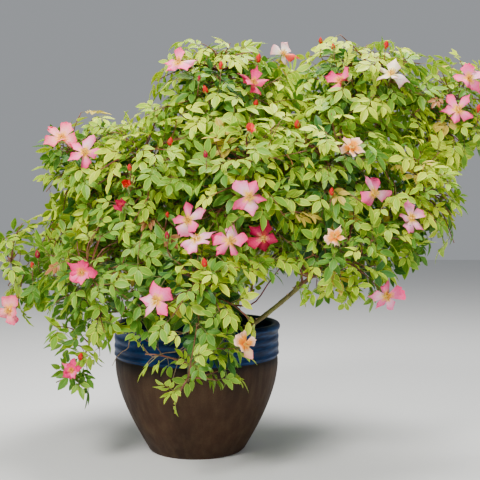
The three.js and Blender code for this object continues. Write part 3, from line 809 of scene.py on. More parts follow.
def add_leaf(rng, root, heading, outward, tone, scale=1.0, reach=LEAF_REACH):
    """A compound leaf of three to seven leaflets on its own stalk, left out where it has no room."""
    draws = rng.random(8)
    length = RACHIS_LENGTH * scale * (0.8 + 0.35 * draws[0])
    droop = -0.15 + 0.5 * draws[1] + LEAF_HANGS * max(heading.dot(outward), 0.0)
    line = [root]
    for part in (0.25, 0.5, 0.75, 1):
        line.append(line[-1] + unit(heading - UP * droop * part) * length / 4)
    line = np.array(line)
    stem_way = unit(line[-1] - root)
    face = unit(UP * (0.35 + 0.65 * draws[2]) + outward * (0.5 + 0.8 * draws[3]) + rng.normal(0, 0.22, 3))
    face = unit(face - stem_way * face.dot(stem_way) * 0.9)
    if not leaflets.free(line[-1]) or not fits(line[[2, 4]], reach):
        return False
    made = []
    for place, side, size in LEAF_PLANS[PAIR_CHOICES[int(draws[4] * 6)]]:
        spot = along_line(line, place)
        along = unit(along_line(line, place + 0.05) - along_line(line, place - 0.1))
        span = LEAFLET_LENGTH * scale * size * rng.uniform(0.9, 1.1)
        if side:
            turn = side * rng.uniform(0.85, 1.2)
            along = unit(swing(along, unit(cross(face, along)), turn) - UP * rng.uniform(-0.08, 0.2))
        middle = spot + along * span * 0.55
        if not leaflets.free(middle):
            return False
        made.append((spot, along, span, middle))
    ends = [spot + along * span for spot, along, span, _ in made]
    if not fits(np.array(ends + [row[3] for row in made]), reach):
        return False
    for spot, along, span, middle in made:
        leaflets.put(middle)
        width = LEAFLET_WIDTH * span / LEAFLET_LENGTH * rng.uniform(0.88, 1.12)
        normal = unit(face + rng.normal(0, 0.16, 3))
        fold, curl, sway = rng.random(3)
        points = leaflet_points(spot + along * 1.5, along, normal, span, width,
                                0.08 + 0.34 * fold, 0.06 + 0.55 * curl, sway - 0.5)
        tones[tone].add(points, LEAFLET_FACES, LEAFLET_SLOTS)
    add_tube(twigs, line[[0, 1, 3, 4]], [RACHIS_RADIUS, 0.68, 0.53, 0.45], 3, GREEN_SLOT)
    return True


def tone_of(rng, point, youth, mass):
    """Painted light and shade: sunlit tones at the crown's top and outside, shaded tones deeper inside and
    below. Some young shoots are bronze.
    """
    inside = max(float(crown_field(point[None], LEAF_REACH)[0]), 0.0) * mass.get("density", 1) ** 2
    height = (point[2] - 200) / 800
    # Painted light: it fades deeper in the crown and lower down, and more where a mass is given shade
    light = 0.92 - SHADE_GROWS * inside + 0.12 * (height - 0.5) - mass.get("shade", 0) + rng.normal(0, 0.11)
    if youth and rng.random() < BRONZE_SHARE and inside < 0.6 and point[2] > YOUNG_ABOVE:
        return "bronze"
    if rng.random() < YELLOWING_SHARE:
        return "yellowing"
    step = int(np.searchsorted(SUN_LIMITS, light))
    if inside < OUTER_SKIN:
        step = max(step, SUN_ORDER.index("mid"))
    return SUN_ORDER[step]


def dress_twig(rng, line, number, start, scale, tones_for, reach=LEAF_REACH):
    """Leaves along a twig, each a turn further round it, and one at its end. Returns how far they go."""
    total = length_of(line[-1] - line[0])
    spin = rng.uniform(0, 6.3)
    part = start
    reached = 0.0
    while part < 1:
        root = along_line(line, part)
        along = unit(along_line(line, part + 0.06) - along_line(line, part - 0.06))
        spin += LEAF_TURN
        normal = unit(cross(along, UP + 0.001))
        other = cross(along, normal)
        outward = unit((root - CENTRES[number]) * (1, 1, 0.4))
        for tries in range(LEAF_TRIES):
            turn = spin + tries * 0.9
            heading = along * 0.55 + swing(normal, other, turn) + outward * 0.3 + UP * 0.2
            heading[2] = max(heading[2], -0.45)
            size = scale * rng.uniform(*LEAF_SIZES)
            if add_leaf(rng, root, unit(heading), outward, tones_for(root), size, reach):
                reached = part
                break
        part += LEAF_STEP * rng.uniform(0.75, 1.3) / total
    outward = unit((line[-1] - CENTRES[number]) * (1, 1, 0.4))
    for tries in range(LEAF_TRIES):
        heading = unit(unit(line[-1] - line[-2]) + rng.normal(0, 0.2 + 0.15 * tries, 3))
        if add_leaf(rng, line[-1], heading, outward, tones_for(line[-1]), scale * 0.9, reach):
            return 1.0
    return reached


def bent_line(rng, start, end, lift, count):
    """From start to end, lifted in the middle and a little crooked."""
    middle = (start + end) / 2 + UP * lift + rng.normal(0, 0.05, 3) * length_of(end - start)
    return Curve([start, middle, end]).spaced(count)


def spread_points(rng, number, count):
    """Branch ends all through the mass's space, each as far as may be from the others."""
    cloud = rng.uniform(-1, 1, (4000, 3)) * REACHES[number] + CENTRES[number]
    cloud = cloud[in_space(cloud, number, 0.97) & ~in_ellipsoid(cloud, number, 0.35)]
    cloud = cloud[clear_of_pot(cloud) & in_box(cloud)]
    chosen = [cloud[0]]
    gaps = np.linalg.norm(cloud - chosen[0], axis=1)
    while len(chosen) < min(count, len(cloud)):
        pick = int(np.argmax(gaps * rng.uniform(0.8, 1, len(cloud))))
        chosen.append(cloud[pick])
        gaps = np.minimum(gaps, np.linalg.norm(cloud - cloud[pick], axis=1))
    return chosen


def space_volume(number):
    steps = (np.arange(8) + 0.5) / 4 - 1
    grid = np.stack(np.meshgrid(steps, steps, steps), axis=-1).reshape(-1, 3)
    inside = in_space(grid * REACHES[number] + CENTRES[number], number)
    return inside.mean() * 8 * REACHES[number].prod()


def stalk_curve(number):
    """From the limb's tip to past the mass's middle, bent as in the solids."""
    draw = seeded_random(number + 1)
    limb = next(row for row in limbs.values() if row["to"] == MASSES[number]["name"])
    heading = limb["curve"].heading(1)
    start = limb["curve"].at(1)[0]
    end = CENTRES[number] + (start - CENTRES[number]) * -STALK_PAST
    bend = np.array([draw() - 0.5, draw() - 0.5, draw() - 0.5]) * 2 * STALK_BEND
    elbow = start + heading * np.linalg.norm(start - CENTRES[number]) + bend
    return Curve([start, start + heading * STALK_STRAIGHT, elbow, end]), limb["tip"]


# Blooms
PETAL_ROWS = 12
PETAL_COLUMNS = 8
PETAL_GAP = 1.6  # from the bloom's middle to a petal's foot
PETAL_COUNT = 5
STAMEN_COUNT = 34
petal_sheaves = {tone: Sheaf() for tone in PETAL_TONES}
flower_parts = Sheaf()
YELLOW_SLOT, ANTHER_SLOT, SEPAL_SLOT = 0, 1, 2


def add_petal(rng, tone, centre, facing, radial, length, width, lift, bend):
    """A petal that is narrow at its foot, broad and uneven at its end, curled and a little twisted."""
    v = np.linspace(0, 1, PETAL_ROWS + 1)[:, None]
    u = np.linspace(-1, 1, PETAL_COLUMNS + 1)[None]
    widest = rng.uniform(0.56, 0.8)
    pointed = (0.8 - widest) / 0.24
    swell = 0.24 + 0.76 * np.minimum(v / widest, 1) ** 0.9
    narrowing = min(rng.uniform(0.45, 0.85) + 0.2 * pointed, 0.93)
    round_off = np.sqrt(1 - narrowing * np.clip((v - widest) / (1 - widest), 0, 1) ** 2)
    half = width / 2 * swell * round_off
    notch = rng.uniform(-0.13, 0.15) - 0.1 * pointed
    ragged = rng.uniform(0.01, 0.04) * np.sin(u * rng.uniform(5, 9) + rng.uniform(0, 6))
    skew = rng.uniform(-0.13, 0.13) * u
    dip = notch * np.exp(-((u - skew * 3) / 0.25) ** 2)
    reach = v - v ** 4 * ((0.1 + 0.3 * pointed) * u ** 2 + dip + ragged + skew)
    angle = lift + bend * reach
    steps = length * np.gradient(reach, axis=0)
    steps[0] = 0
    outward = PETAL_GAP + np.cumsum(steps * np.cos(angle), axis=0)
    height = np.cumsum(steps * np.sin(angle), axis=0)
    twist = rng.uniform(-0.9, 0.9) * v
    across = half * u
    cup = (rng.uniform(-0.6, 0.5) - 0.45 * pointed) * half * u ** 2
    wave = 0.07 * length * v ** 2 * np.sin(u * 3.2 + v * 4 + rng.uniform(0, 6)) * np.abs(u)
    rise = height + cup + wave + across * np.sin(twist)
    sideways = across * np.cos(twist)
    points = (centre + radial * outward[..., None] + np.cross(facing, radial) * sideways[..., None]
              + facing * rise[..., None]).reshape(-1, 3)
    quads = strip_quads(PETAL_ROWS + 1, PETAL_COLUMNS + 1, False)
    row = (np.arange(PETAL_ROWS) + 0.5) / PETAL_ROWS
    edge = np.abs((np.arange(PETAL_COLUMNS) + 0.5) / PETAL_COLUMNS * 2 - 1)
    level = row[:, None] ** 0.9 + 0.16 * (edge[None] > 0.7) - 0.1 * (edge[None] < 0.2)
    bands = np.clip((level * PETAL_BANDS).astype(int), 0, PETAL_BANDS - 1)
    petal_sheaves[tone].add(points, [quads], [bands.ravel()])


def revolve(sheaf, foot, axis, profile, sides, slot, spin=0.0):
    """Rings along an axis: profile rows are (height, radius)."""
    side = unit(np.cross(axis, UP + 0.01))
    other = np.cross(axis, side)
    profile = np.array(profile, float)
    turns = np.arange(sides) * 2 * math.pi / sides
    angle = turns[None] + spin * np.linspace(0, 1, len(profile))[:, None]
    ring = side * np.cos(angle)[..., None] + other * np.sin(angle)[..., None]
    rings = foot + axis * profile[:, 0][:, None, None] + ring * profile[:, 1][:, None, None]
    add_rings(sheaf, rings, [foot + axis * profile[0, 0], foot + axis * profile[-1, 0]], slot)


def add_sepal(root, along, normal, length, width, curl):
    """A narrow pointed blade."""
    half = np.array([0.7, 1, 0.75, 0.4]) * width / 2
    side = unit(np.cross(normal, along))
    spine = [root + along * math.cos(curl * r) * length * r + normal * math.sin(curl * r) * length * r
             for r in (0, 0.25, 0.55, 0.8, 1)]
    points = [p + side * half[i] * sign for i, p in enumerate(spine[:-1]) for sign in (-1, 1)]
    flower_parts.add(np.array([*points, spine[-1]]),
                     [strip_quads(4, 2, False), np.array([[6, 7, 8]])], SEPAL_SLOT)


def add_bloom(rng, centre, facing, tone, opened, size=1.0):
    """Five petals round a boss of stamens, with a second whorl where the bloom is half open."""
    side, above = frame_of(facing, 1e-6)
    start = rng.uniform(0, 1.3)
    for whorl in range(1 if opened > 0.7 else 2):
        for i in range(PETAL_COUNT):
            angle = start + whorl * 0.63 + (i + rng.uniform(-0.13, 0.13)) * 2 * math.pi / PETAL_COUNT
            shrink = size * (0.74 if whorl else 1)
            own = ODD_TONES.get(tone, tone) if rng.random() < ODD_SHARE else tone
            length = PETAL_LENGTH * (0.62 + 0.38 * opened) * shrink * rng.uniform(0.9, 1.08)
            width = PETAL_WIDTH * (0.9 + 0.1 * opened) * shrink * rng.uniform(0.66, 1.12)
            tilt = 1.25 - 1.12 * opened + whorl * 0.2 + rng.normal(0, 0.24 * opened + 0.05)
            bend = rng.uniform(-0.55, 0.1) if opened > 0.5 else rng.uniform(0.1, 0.5)
            add_petal(rng, own, centre, facing, swing(side, above, angle), length, width, tilt, bend)
    if opened > 0.5:
        revolve(flower_parts, centre - facing * 0.5, facing, [(0, 4.2), (1.6, 3.6), (2.4, 1.8)], 8,
                YELLOW_SLOT)
        for _ in range(STAMEN_COUNT):
            radial = swing(side, above, rng.uniform(0, 2 * math.pi))
            out = unit(swing(facing, radial, rng.uniform(0.15, 0.85)))
            foot = centre + radial * 2.4 * size + facing * 1.2
            end = foot + out * rng.uniform(6, 10.5) * size
            add_tube(flower_parts, [foot, end], [0.4, 0.3], 3, YELLOW_SLOT)
            revolve(flower_parts, end - out * 0.9, out, [(0, 0.5), (0.9, 1.05), (2.0, 0.5)], 4, ANTHER_SLOT)
    revolve(flower_parts, centre - facing * 9.5, facing,
            [(0, 1.2), (2, 2.8), (5, 3.6), (8, 3.0), (9.4, 3.2)], 8, SEPAL_SLOT)
    for i in range(PETAL_COUNT):
        radial = swing(side, above, start + 0.6 + i * 2 * math.pi / PETAL_COUNT)
        along = unit(radial - facing * rng.uniform(0.25, 0.9))
        add_sepal(centre - facing * 1.2 + radial * 2.4, along, facing, rng.uniform(15, 21), 5, -0.5)


def add_bud(rng, foot, facing, size=1.0):
    """A pointed bud with its calyx and sepals."""
    tone = rng.choice(["red", "red", "red", "crimson"])
    profile = [(1, 2.6), (4, 5.6), (9, 7.4), (14, 6.8), (19, 4.6), (23, 2.1), (25, 0.5)]
    revolve(petal_sheaves[tone], foot, facing, [(h * size, r * size) for h, r in profile], 9,
            PETAL_BANDS - 2, spin=1.4)
    revolve(flower_parts, foot - facing * 6, facing, [(0, 1.1), (2, 2.5), (5, 3.2), (7.5, 2.9)], 7,
            SEPAL_SLOT)
    side, above = frame_of(facing, 1e-6)
    for i in range(PETAL_COUNT):
        radial = swing(side, above, i * 2 * math.pi / PETAL_COUNT + rng.uniform(-0.1, 0.1))
        along = unit(facing + radial * rng.uniform(0.25, 0.55))
        add_sepal(foot + radial * 3 * size, along, radial, BUD_LENGTH * size * rng.uniform(0.7, 1.05), 4.2,
                  rng.uniform(-0.2, 0.4))


def settle_on_mass(number, dx, dz, radius):
    """Where a flower stands: on the mass's outer side, moved in until it fits, by the solids' rule."""
    outward = 1 if MASSES[number].get("back") else -1
    reach = REACHES[number]
    flat = (dx / reach[0]) ** 2 + (dz / reach[2]) ** 2
    wanted = CENTRES[number] + (dx, outward * 0.85 * reach[1] * math.sqrt(max(0, 1 - flat)), dz)
    facing = unit(np.array([dx * 0.004, outward, 0.35 + dz * 0.004]))
    side, above = frame_of(facing)
    for part in np.arange(0, 0.9, 0.04):
        place = wanted + (CENTRES[number] - wanted) * part
        ring = np.array([place + side * radius * math.cos(a) + above * radius * math.sin(a)
                         for a in np.arange(0, 6.2, 0.63)])
        if in_bush(ring, FLOWER_REACH, FLOWER_OFF_POT, FLOWER_OFF_LIMBS):
            return place, facing
    return None, None


def flower_stalk(forks, place, facing, depth):
    foot = place - facing * depth
    fork = nearest(forks, foot)
    mid = foot - facing * 24 - UP * 4
    path = Curve([fork, (fork + mid) / 2 + UP * 8, mid, foot]).spaced(10)
    add_tube(twigs, path, np.linspace(1.9, 1.0, 11), 5, TWIG_SLOT)
    return path


def keep_leaves_off(place, facing, size):
    """No leaflet's middle comes near a bloom or right before it."""
    side, above = frame_of(facing)
    spots = np.linspace(-26, 26, 5) * size
    for ahead, spot, rise in itertools.product(BLOOM_FREE_LAYERS, spots, spots):
        leaflets.put(place + side * spot + above * rise + facing * ahead)


def grow_flowers(number):
    """The mass's stalk, its blooms and its buds. Returns the flowers' own stalks."""
    rng = np.random.default_rng(FLOWER_SEED + number)
    stalk, limb_tip = stalk_curve(number)
    add_tube(stalks, stalk.spaced(14), np.linspace(limb_tip, 1.5, 15), 7)
    forks = stalk.at(FORK_PLACES)
    paths = []
    flowers = [(*row, 1)[:5] for row in MASSES[number]["blooms"]]
    flowers += [(*row, None, 0, 1) for row in MASSES[number]["buds"]]
    for dx, dz, tone, opened, size in flowers:
        place, facing = settle_on_mass(number, dx, dz, BLOOM_REACH * size if tone else BUD_REACH)
        if place is None:
            continue
        turned = unit(facing + rng.normal(0, 0.2, 3))
        if tone:
            paths.append(flower_stalk(forks, place, turned, BLOOM_DEPTH))
            add_bloom(rng, place, turned, tone, opened, size)
            keep_leaves_off(place, turned, size)
        else:
            turned = unit(turned + UP * 1.2)
            paths.append(flower_stalk(forks, place, turned, BUD_DEPTH))
            add_bud(rng, place, turned, rng.uniform(0.6, 0.9))
            for ahead in BUD_FREE_LAYERS:
                leaflets.put(place + facing * ahead + turned * 10)
    return paths


def grow_mass(number, flower_stalks):
    """Branches fork from the stalk, shoots from the branches, and both carry leaves."""
    mass = MASSES[number]
    rng = np.random.default_rng(BRANCH_SEED + number)
    forks = stalk_curve(number)[0].at(FORK_PLACES)

    def grow_twig(start, end, lift, radii, count, sides, start_leaf, scale, youth):
        """A twig with its leaves, as far as they go. Returns its line, or None where nothing grows."""
        scale *= mass.get("leaf", 1)
        path = bent_line(rng, start, end, lift, count)
        if not (clear_of_pot(path[1:], 2).all() and clear_of_limbs(path[2:], 1.5).all()):
            return None
        spray_tone = tone_of(rng, path[-1], youth, mass)
        if spray_tone == "bronze":
            scale *= BRONZE_SIZE

        def tones_for(_):
            return spray_tone if rng.random() < SPRAY_SHARE else tone_of(rng, path[-1], False, mass)

        reached = dress_twig(rng, path, number, start_leaf, scale, tones_for)
        if reached == 0:
            return None
        ends = max(int(math.ceil(reached * count)), 2) + 1
        add_tube(twigs, path[:ends], np.linspace(*radii, count + 1)[:ends], sides, TWIG_SLOT)
        return path[:ends]

    for path in flower_stalks:
        dress_twig(rng, path[:8], number, 0.3, 1.0, lambda p: tone_of(rng, p, False, mass))

    branch_count = int(space_volume(number) / SPACE_PER_BRANCH * mass.get("density", 1))
    for end in spread_points(rng, number, branch_count):
        fork = nearest(forks, end)
        span = np.linalg.norm(end - fork)
        path = grow_twig(fork, end, 0.1 * span, **BRANCH)
        if path is None:
            continue
        for part in np.arange(0.35, 1.0, SHOOT_APART / max(span, SHOOT_APART)):
            root = along_line(path, part)
            outward = unit(root - CENTRES[number] + rng.normal(0, 30, 3))
            goal = root + unit(outward + UP * rng.uniform(-0.35, 0.6)
                               + rng.normal(0, 0.45, 3)) * rng.uniform(*SHOOT_LENGTH)
            if fits(goal, SHOOTS_WITHIN):
                grow_twig(root, goal, rng.uniform(0, 8), **SHOOT)


def dress_outer_stalks(number, flower_stalks):
    """More leaves by the blooms that stand further out than their mass's leaves."""
    rng = np.random.default_rng(OUTER_LEAF_SEED + number)
    for path in flower_stalks:
        tone = rng.choice(["light", "fresh", "mid"])
        dress_twig(rng, path[:8], number, 0.35, 0.85, lambda _, tone=tone: tone, FLOWER_REACH)


all_flower_stalks = [grow_flowers(mass_number) for mass_number in range(len(MASSES))]
for grow in (grow_mass, dress_outer_stalks):
    for mass_number, own_stalks in enumerate(all_flower_stalks):
        grow(mass_number, own_stalks)

# Bare dead twigs over the pot's rim, from a mass's stalk, and young red shoots, from a place along a limb
DEAD_TWIGS = [
    ("pot_front", [(-4, -221, 312), (-29, -220, 321), (-80, -206, 319), (-116, -189, 300),
                   (-126, -184, 283)]),
    ("pot_front", [(-4, -225, 285), (-38, -222, 276), (-66, -218, 272), (-90, -211, 262),
                   (-115, -200, 287)]),
    ("pot_front", [(-38, -222, 276), (-66, -218, 272), (-90, -211, 262), (-108, -204, 242)]),
    ("pot_front", [(-26, -236, 271), (-34, -235, 246), (-44, -233, 214)]),
    ("left_low", [(-151, -167, 278), (-168, -149, 265), (-184, -130, 248), (-197, -110, 225)]),
]
RED_SHOOTS = [
    ("pruned_stub", 0.0, [(133, -6, 389), (138, -22, 452), (128, -60, 500)]),
    ("pruned_stub", 0.1, [(137, -8, 361), (181, -24, 419), (218, -60, 474), (240, -90, 520)]),
    ("cane_front_right", 0.5, [(251, -170, 434), (240, -172, 476), (228, -180, 527)]),
]
DEAD_SLOT, RED_SLOT = 2, 3


def add_loose_twigs():
    for name, places in DEAD_TWIGS:
        line = stalk_curve(find_mass(name))[0].at(np.arange(0.1, 1.0, 0.05))
        path = Curve([nearest(line, places[0]), *places]).spaced(14)
        add_tube(twigs, path, np.linspace(1.5, 0.8, 15), 5, DEAD_SLOT)
    for name, part, places in RED_SHOOTS:
        rng = np.random.default_rng(len(places) + int(part * 100))
        path = Curve([limbs[name]["curve"].at(part)[0], *places]).spaced(16)
        add_tube(twigs, path, np.linspace(2.3, 1.1, 17), 6, RED_SLOT)
        dress_twig(rng, path, find_mass("low_right"), 0.45, 0.85,
                   lambda p: "fresh" if p[2] < 470 else "light")


add_loose_twigs()

FOLIAGE_NODES = [f"foliage_{mass['name']}" for mass in MASSES]
for tone_name, sheaf in tones.items():
    sheaf.make(f"leaves_{tone_name}", leaf_materials(tone_name), "foliage", FOLIAGE_NODES)
for tone_name, sheaf in petal_sheaves.items():
    sheaf.make(f"petals_{tone_name}", petal_materials(tone_name), "foliage")
twigs.make("twigs", [
    streaked("twig_bark", [(0.28, "5a2f22"), (0.5, "7a3f2a"), (0.72, "7a5c33")], 60, 0.3),
    streaked("leaf_stalk", [(0.35, "7c4a34"), (0.55, "8f8a44"), (0.75, "9aa852")], 45),
    streaked("dead_twig", [(0.3, "6b5238"), (0.5, "8d7350"), (0.75, "a8906a")], 70, 0.3),
    streaked("red_shoot", [(0.3, "5e1a1c"), (0.5, "84262a"), (0.75, "8f4a34")], 50),
], "canes", FOLIAGE_NODES)
stalks.make("stalks", [
    bark_material("stalk_bark", [(0.3, "5b3b28"), (0.5, "6b5a33"), (0.7, "5f6a35")], 60, 0.3),
], "canes")
flower_parts.make("stamens_and_sepals", [
    streaked("filament", [(0.35, "e9b93c"), (0.65, "f3d873")], 300),
    streaked("anther", [(0.35, "d98a1e"), (0.65, "f0c040")], 300, roughness=0.6),
    streaked("sepal", [(0.35, "6d8a3a"), (0.65, "9aa957")], 120),
], "foliage")

# Canes and stem with the bark's relief
canes = Sheaf()
prickles = Sheaf()
stem = Sheaf()
rng_wood = np.random.default_rng(41)
PRICKLE_ROWS, PRICKLE_SIDES = 4, 5
CANE_STEP = 4  # between two rings of a cane


def noise_at(point, across, along):
    return noise.noise(Vector((point[0] * across, point[1] * across, point[2] * along)))


def cane_relief(point, row, radius):
    """Long shallow ridges, a swelling at each bud scar, and a fine unevenness."""
    scar = max(0.0, math.cos(row * 0.55)) ** 14
    return radius * (0.1 * noise_at(point, 0.05, 0.05) + 0.07 * noise_at(point, 0.35, 0.12) + 0.12 * scar)


def stem_relief(point, _row, _radius):
    """Broad upright ridges with a fine unevenness."""
    return 3.4 * abs(noise_at(point, 0.09, 0.03)) - 1.6 + 0.7 * noise_at(point, 0.4, 0.1)


def add_prickle(point, outward, along, size):
    """A flat broad-footed prickle that hooks towards the cane's foot."""
    side = np.cross(along, outward)
    points = []
    for i in range(PRICKLE_ROWS):
        part = i / (PRICKLE_ROWS - 1)
        centre = point + outward * size * part - along * size * 0.45 * part ** 2
        long_half = size * 0.5 * (1 - part) ** 0.8 + 0.12
        thin_half = size * 0.16 * (1 - part) + 0.1
        points += [centre + along * long_half * math.cos(a) + side * thin_half * math.sin(a)
                   for a in np.arange(PRICKLE_SIDES) * 2 * math.pi / PRICKLE_SIDES]
    tip = np.array(points[-PRICKLE_SIDES:]).mean(axis=0)
    last = len(points) - PRICKLE_SIDES + np.arange(PRICKLE_SIDES)
    prickles.add(np.array([*points, tip]),
                 [strip_quads(PRICKLE_ROWS, PRICKLE_SIDES, True), fan(last, len(points), True)])


def add_cane(limb):
    steps = max(int(limb["curve"].length / CANE_STEP), 8)
    line = limb["curve"].spaced(steps)
    radii = np.linspace(limb["radius"], limb["tip"], steps + 1)
    if "on" not in limb:
        radii += 2.2 * np.exp(-np.arange(steps + 1) / 4)
    add_tube(canes, line, radii, 14, 0, cane_relief)
    tangents, normals, binormals = transported(line)
    place = 0
    while place < steps:
        outward = swing(normals[place], binormals[place], rng_wood.uniform(0, 2 * math.pi))
        if line[place][2] > STEM_TOP[2] - 20:
            add_prickle(line[place] + outward * radii[place] * 0.8, outward, tangents[place],
                        rng_wood.uniform(4.5, 7.5) * min(radii[place] / 5, 1.1))
        place += int(rng_wood.integers(4, 10))


def add_stem():
    parts = np.concatenate([np.linspace(0, 1, 30), [1.02, 1.03]])
    radii = STEM_RADIUS + (STEM_TOP_RADIUS - STEM_RADIUS) * parts
    radii[-2:] = (STEM_TOP_RADIUS * 0.8, STEM_TOP_RADIUS * 0.3)
    add_tube(stem, STEM_FOOT + (STEM_TOP - STEM_FOOT) * parts[:, None], radii, 48, 0, stem_relief)


for cane_row in limbs.values():
    add_cane(cane_row)
add_stem()
canes.make("canes", [
    bark_material("cane_bark", [(0.3, "5a4427"), (0.5, "71692f"), (0.72, "7d8038")], 55, 0.35),
], "canes", [row["name"] for row in LIMBS])
prickles.make("prickles", [streaked("prickle", [(0.35, "b08a5e"), (0.65, "d2ae84")], 200, roughness=0.45)],
              "canes")
stem.make("stem_bark", [
    bark_material("stem_bark", [(0.3, "4a3a28"), (0.5, "6a573c"), (0.72, "7d6b4c")], 40, 0.8),
], "stem", ["stem"])

# Pot
BLUE_SLOT, BROWN_SLOT, CLAY_SLOT = 0, 1, 2


def belly_radius(z):
    rise = min(z / SHOULDER_HEIGHT, 1)
    return FOOT_RADIUS + (SHOULDER_RADIUS - FOOT_RADIUS) * math.sin(rise * math.pi / 2)


def pot_profile():
    """Rows of radius, height and glaze, from the middle of the underside to the middle of the floor."""
    rows = [(0, 3, CLAY_SLOT)]
    rows += [(FOOT_RADIUS - inside, z, CLAY_SLOT) for inside, z in ((16, 3), (11, 0), (3, 0), (0, 2.5))]
    rows += [(belly_radius(z), z, BROWN_SLOT) for z in np.arange(6, SHOULDER_HEIGHT + 0.1, 4.12)]
    rows += [(GROOVE_RADIUS + 1.6, GROOVE_HEIGHT - 3.5, BROWN_SLOT),
             (GROOVE_RADIUS, GROOVE_HEIGHT, BROWN_SLOT),
             (GROOVE_RADIUS + 1.5, BAND_FOOT - 3.5, BLUE_SLOT),
             (BAND_RADIUS - 1.6, BAND_FOOT - 1.5, BLUE_SLOT)]
    for z in np.arange(BAND_FOOT, BAND_TOP + 0.1, 1.6):
        ridge = 0.8 * math.cos((z - BAND_FOOT) / (BAND_TOP - BAND_FOOT) * 2 * math.pi * 2.5)
        rows.append((BAND_RADIUS - 0.4 + ridge, z, BLUE_SLOT))
    for degrees in range(-50, 166, 12):
        angle = math.radians(degrees)
        rows.append((LIP_RADIUS + LIP_ROUND * math.cos(angle),
                     POT_HEIGHT - LIP_ROUND + LIP_ROUND * math.sin(angle), BLUE_SLOT))
    rows += [(belly_radius(z) - POT_WALL, z, BLUE_SLOT if z > GLAZED_ABOVE else CLAY_SLOT)
             for z in np.arange(POT_HEIGHT - 12, FLOOR_HEIGHT, -6.0)]
    return [*rows, (0, FLOOR_HEIGHT, CLAY_SLOT)]


def circle(sides):
    angles = [k / sides * 2 * math.pi for k in range(sides)]
    return [(math.cos(angle), math.sin(angle)) for angle in angles]


def add_pot():
    rows = pot_profile()
    points = []
    for radius, z, _ in rows:
        for x, y in circle(POT_SIDES):
            spot = Vector((x * 2.2, y * 2.2, z * 0.012))
            wobble = 1.1 * noise.noise(spot) + 0.25 * noise_at((spot.x, spot.y, z), 3, 0.2)
            own = max(radius + (wobble if radius > 40 and z > 2.4 else 0), 0.01)
            points.append((own * x, own * y, z))
    slots = np.repeat([slot for _, _, slot in rows[1:]], POT_SIDES)
    pot.add(np.array(points), [strip_quads(len(rows), POT_SIDES, True)], [slots])


pot = Sheaf()
add_pot()
pot.make("pot_glazed", [
    glaze_material("glaze_blue", [(0.3, "020a20"), (0.5, "041e44"), (0.72, "08366a")], "12508a",
                   (0.25, 0.25, 2.2), 0.6, 0.4, coat=0.03, specular=0.09),
    # The brown body carries a painted shade under the band
    glaze_material("glaze_brown", [(0.3, "2a1b11"), (0.5, "392619"), (0.72, "483121")], "534029",
                   (1, 1, 0.1), 0.5, 0.58, painted_shade="120e0c"),
    glaze_material("clay_foot", [(0.3, "4a3024"), (0.5, "5c3d2d"), (0.72, "6b4a37")], "6e503d",
                   (1, 1, 0.3), 0.8, 0.75),
], "glaze", ["pot"])

# Compost with crumbs and bark chips
compost = Sheaf()
rng_soil = np.random.default_rng(9)
SKIRT = 30
CRUMB_COUNT = 900
CRUMB_SIZE = (1.4, 5.5)
GRIT_SHARE = 0.35
EDGE = SHOULDER_RADIUS - POT_WALL - 1.0


def soil_height(x, y):
    part = min(math.hypot(x, y) / EDGE, 1)
    rough = 2.6 * noise_at((x, y, 0), 0.05, 1) + 1.6 * noise_at((x, y, 4), 0.16, 1)
    return SOIL_HEIGHT + SOIL_DOME * (1 - part ** 2) + rough + 0.8 * noise_at((x, y, 9), 0.5, 1)


def add_soil(rings=70, sides=180):
    """Rings from the middle to the edge, and a skirt under the edge."""
    places = [(radius * x, radius * y) for radius in np.linspace(0.6, EDGE, rings) for x, y in circle(sides)]
    points = [(x, y, soil_height(x, y)) for x, y in places]
    points += [(x, y, SOIL_HEIGHT - SKIRT) for x, y in places[-sides:]]
    points += [(0, 0, soil_height(0, 0)), (0, 0, SOIL_HEIGHT - SKIRT)]
    total = (rings + 1) * sides
    compost.add(np.array(points), [strip_quads(rings + 1, sides, True)[:, ::-1],
                                   fan(np.arange(sides), total, True),
                                   fan(np.arange(sides) + rings * sides, total + 1, False)])


CUBE_CORNERS = np.array(list(itertools.product((-1, 1), repeat=3)))
CUBE_FACES = np.array([[0, 1, 3, 2], [4, 6, 7, 5], [0, 4, 5, 1], [2, 3, 7, 6], [0, 2, 6, 4], [1, 5, 7, 3]])


def add_crumb():
    """An uneven block that lies in the soil: a chip or a bit of grit."""
    angle = rng_soil.uniform(0, 2 * math.pi)
    radius = EDGE * 0.97 * math.sqrt(rng_soil.random())
    x, y = radius * math.cos(angle), radius * math.sin(angle)
    size = rng_soil.uniform(*CRUMB_SIZE)
    uneven = rng_soil.normal(0, 1, (8, 3))
    uneven /= np.linalg.norm(uneven, axis=1)[:, None]
    stretch = np.array([rng_soil.uniform(*span) for span in ((0.6, 1.6), (0.5, 1), (0.25, 0.7))])
    turn = rng_soil.uniform(0, 6.3)
    a, b, c = ((CUBE_CORNERS * 0.6 + uneven * 0.25) * stretch * size).T
    points = np.stack([swing(a, -b, turn), swing(b, a, turn), c], -1)
    place = (x, y, soil_height(x, y) + size * 0.15)
    compost.add(points + place, [CUBE_FACES], int(rng_soil.random() < GRIT_SHARE) + 1)


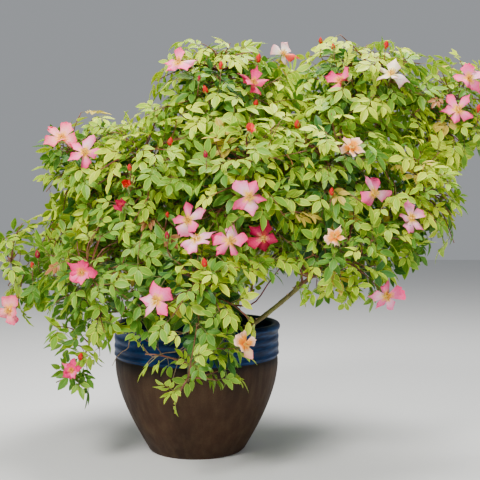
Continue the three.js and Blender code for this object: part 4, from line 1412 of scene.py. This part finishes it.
add_soil()
for _ in range(CRUMB_COUNT):
    add_crumb()
compost.make("compost_top", [
    soil_material("compost_fine", [(0.3, "1f1510"), (0.6, "33241a"), (0.8, "453225")], 40),
    soil_material("bark_chip", [(0.3, "3a271a"), (0.6, "54392a"), (0.8, "6b4c35")], 60),
    soil_material("grit", [(0.3, "55493c"), (0.6, "7a6b59"), (0.8, "94866f")], 60),
], "compost", ["compost"], smooth=False)

# Stage: camera as the photograph's, pale floor, soft light
CAMERA_PLACE = (0.108, -2.19, 0.587)
CAMERA_PITCH = 1.7  # degrees down
FOCAL_PIXELS = 875
FRAME_PIXELS = 480
SENSOR = 36.0
FLOOR_HALF = 9.0
LIGHTS_AIM = Vector((0.1, 0, 0.5))


def add_camera():
    camera = bpy.data.cameras.new("camera")
    camera.sensor_width = SENSOR
    camera.lens = FOCAL_PIXELS / FRAME_PIXELS * SENSOR
    made = link("camera", camera)
    made.location = CAMERA_PLACE
    made.rotation_euler = (math.radians(90 - CAMERA_PITCH), 0, 0)
    bpy.context.scene.camera = made


def add_floor():
    mesh = bpy.data.meshes.new("floor")
    corners = [(x * FLOOR_HALF, y * FLOOR_HALF, 0) for x, y in ((-1, -1), (1, -1), (1, 1), (-1, 1))]
    mesh.from_pydata(corners, [], [(0, 1, 2, 3)])
    material, tree, shader = new_material("floor")
    feed(tree, shader, {"Base Color": (0.7, 0.7, 0.69, 1), "Roughness": 0.8})
    mesh.materials.append(material)
    link("floor", mesh)


def add_lights():
    world = bpy.data.worlds.new("studio")
    world.use_nodes = True
    feed(world.node_tree, world.node_tree.nodes["Background"],
         {"Color": (0.86, 0.9, 0.95, 1), "Strength": 0.38})
    bpy.context.scene.world = world
    for name, place, size, power, tint in (("key", (-1.1, -2.6, 2.8), 1.0, 198, (1, 0.98, 0.94)),
                                           ("top", (0.4, 0.1, 3.1), 1.5, 152, (1, 0.99, 0.96)),
                                           ("fill", (2.4, -1.8, 1.4), 2.0, 10, (0.95, 0.97, 1))):
        light = bpy.data.lights.new(name, "AREA")
        light.size = size
        light.energy = power
        light.color = tint
        made = link(name, light)
        made.location = place
        made.rotation_euler = (LIGHTS_AIM - Vector(place)).to_track_quat("-Z", "Y").to_euler()


add_camera()
add_floor()
add_lights()
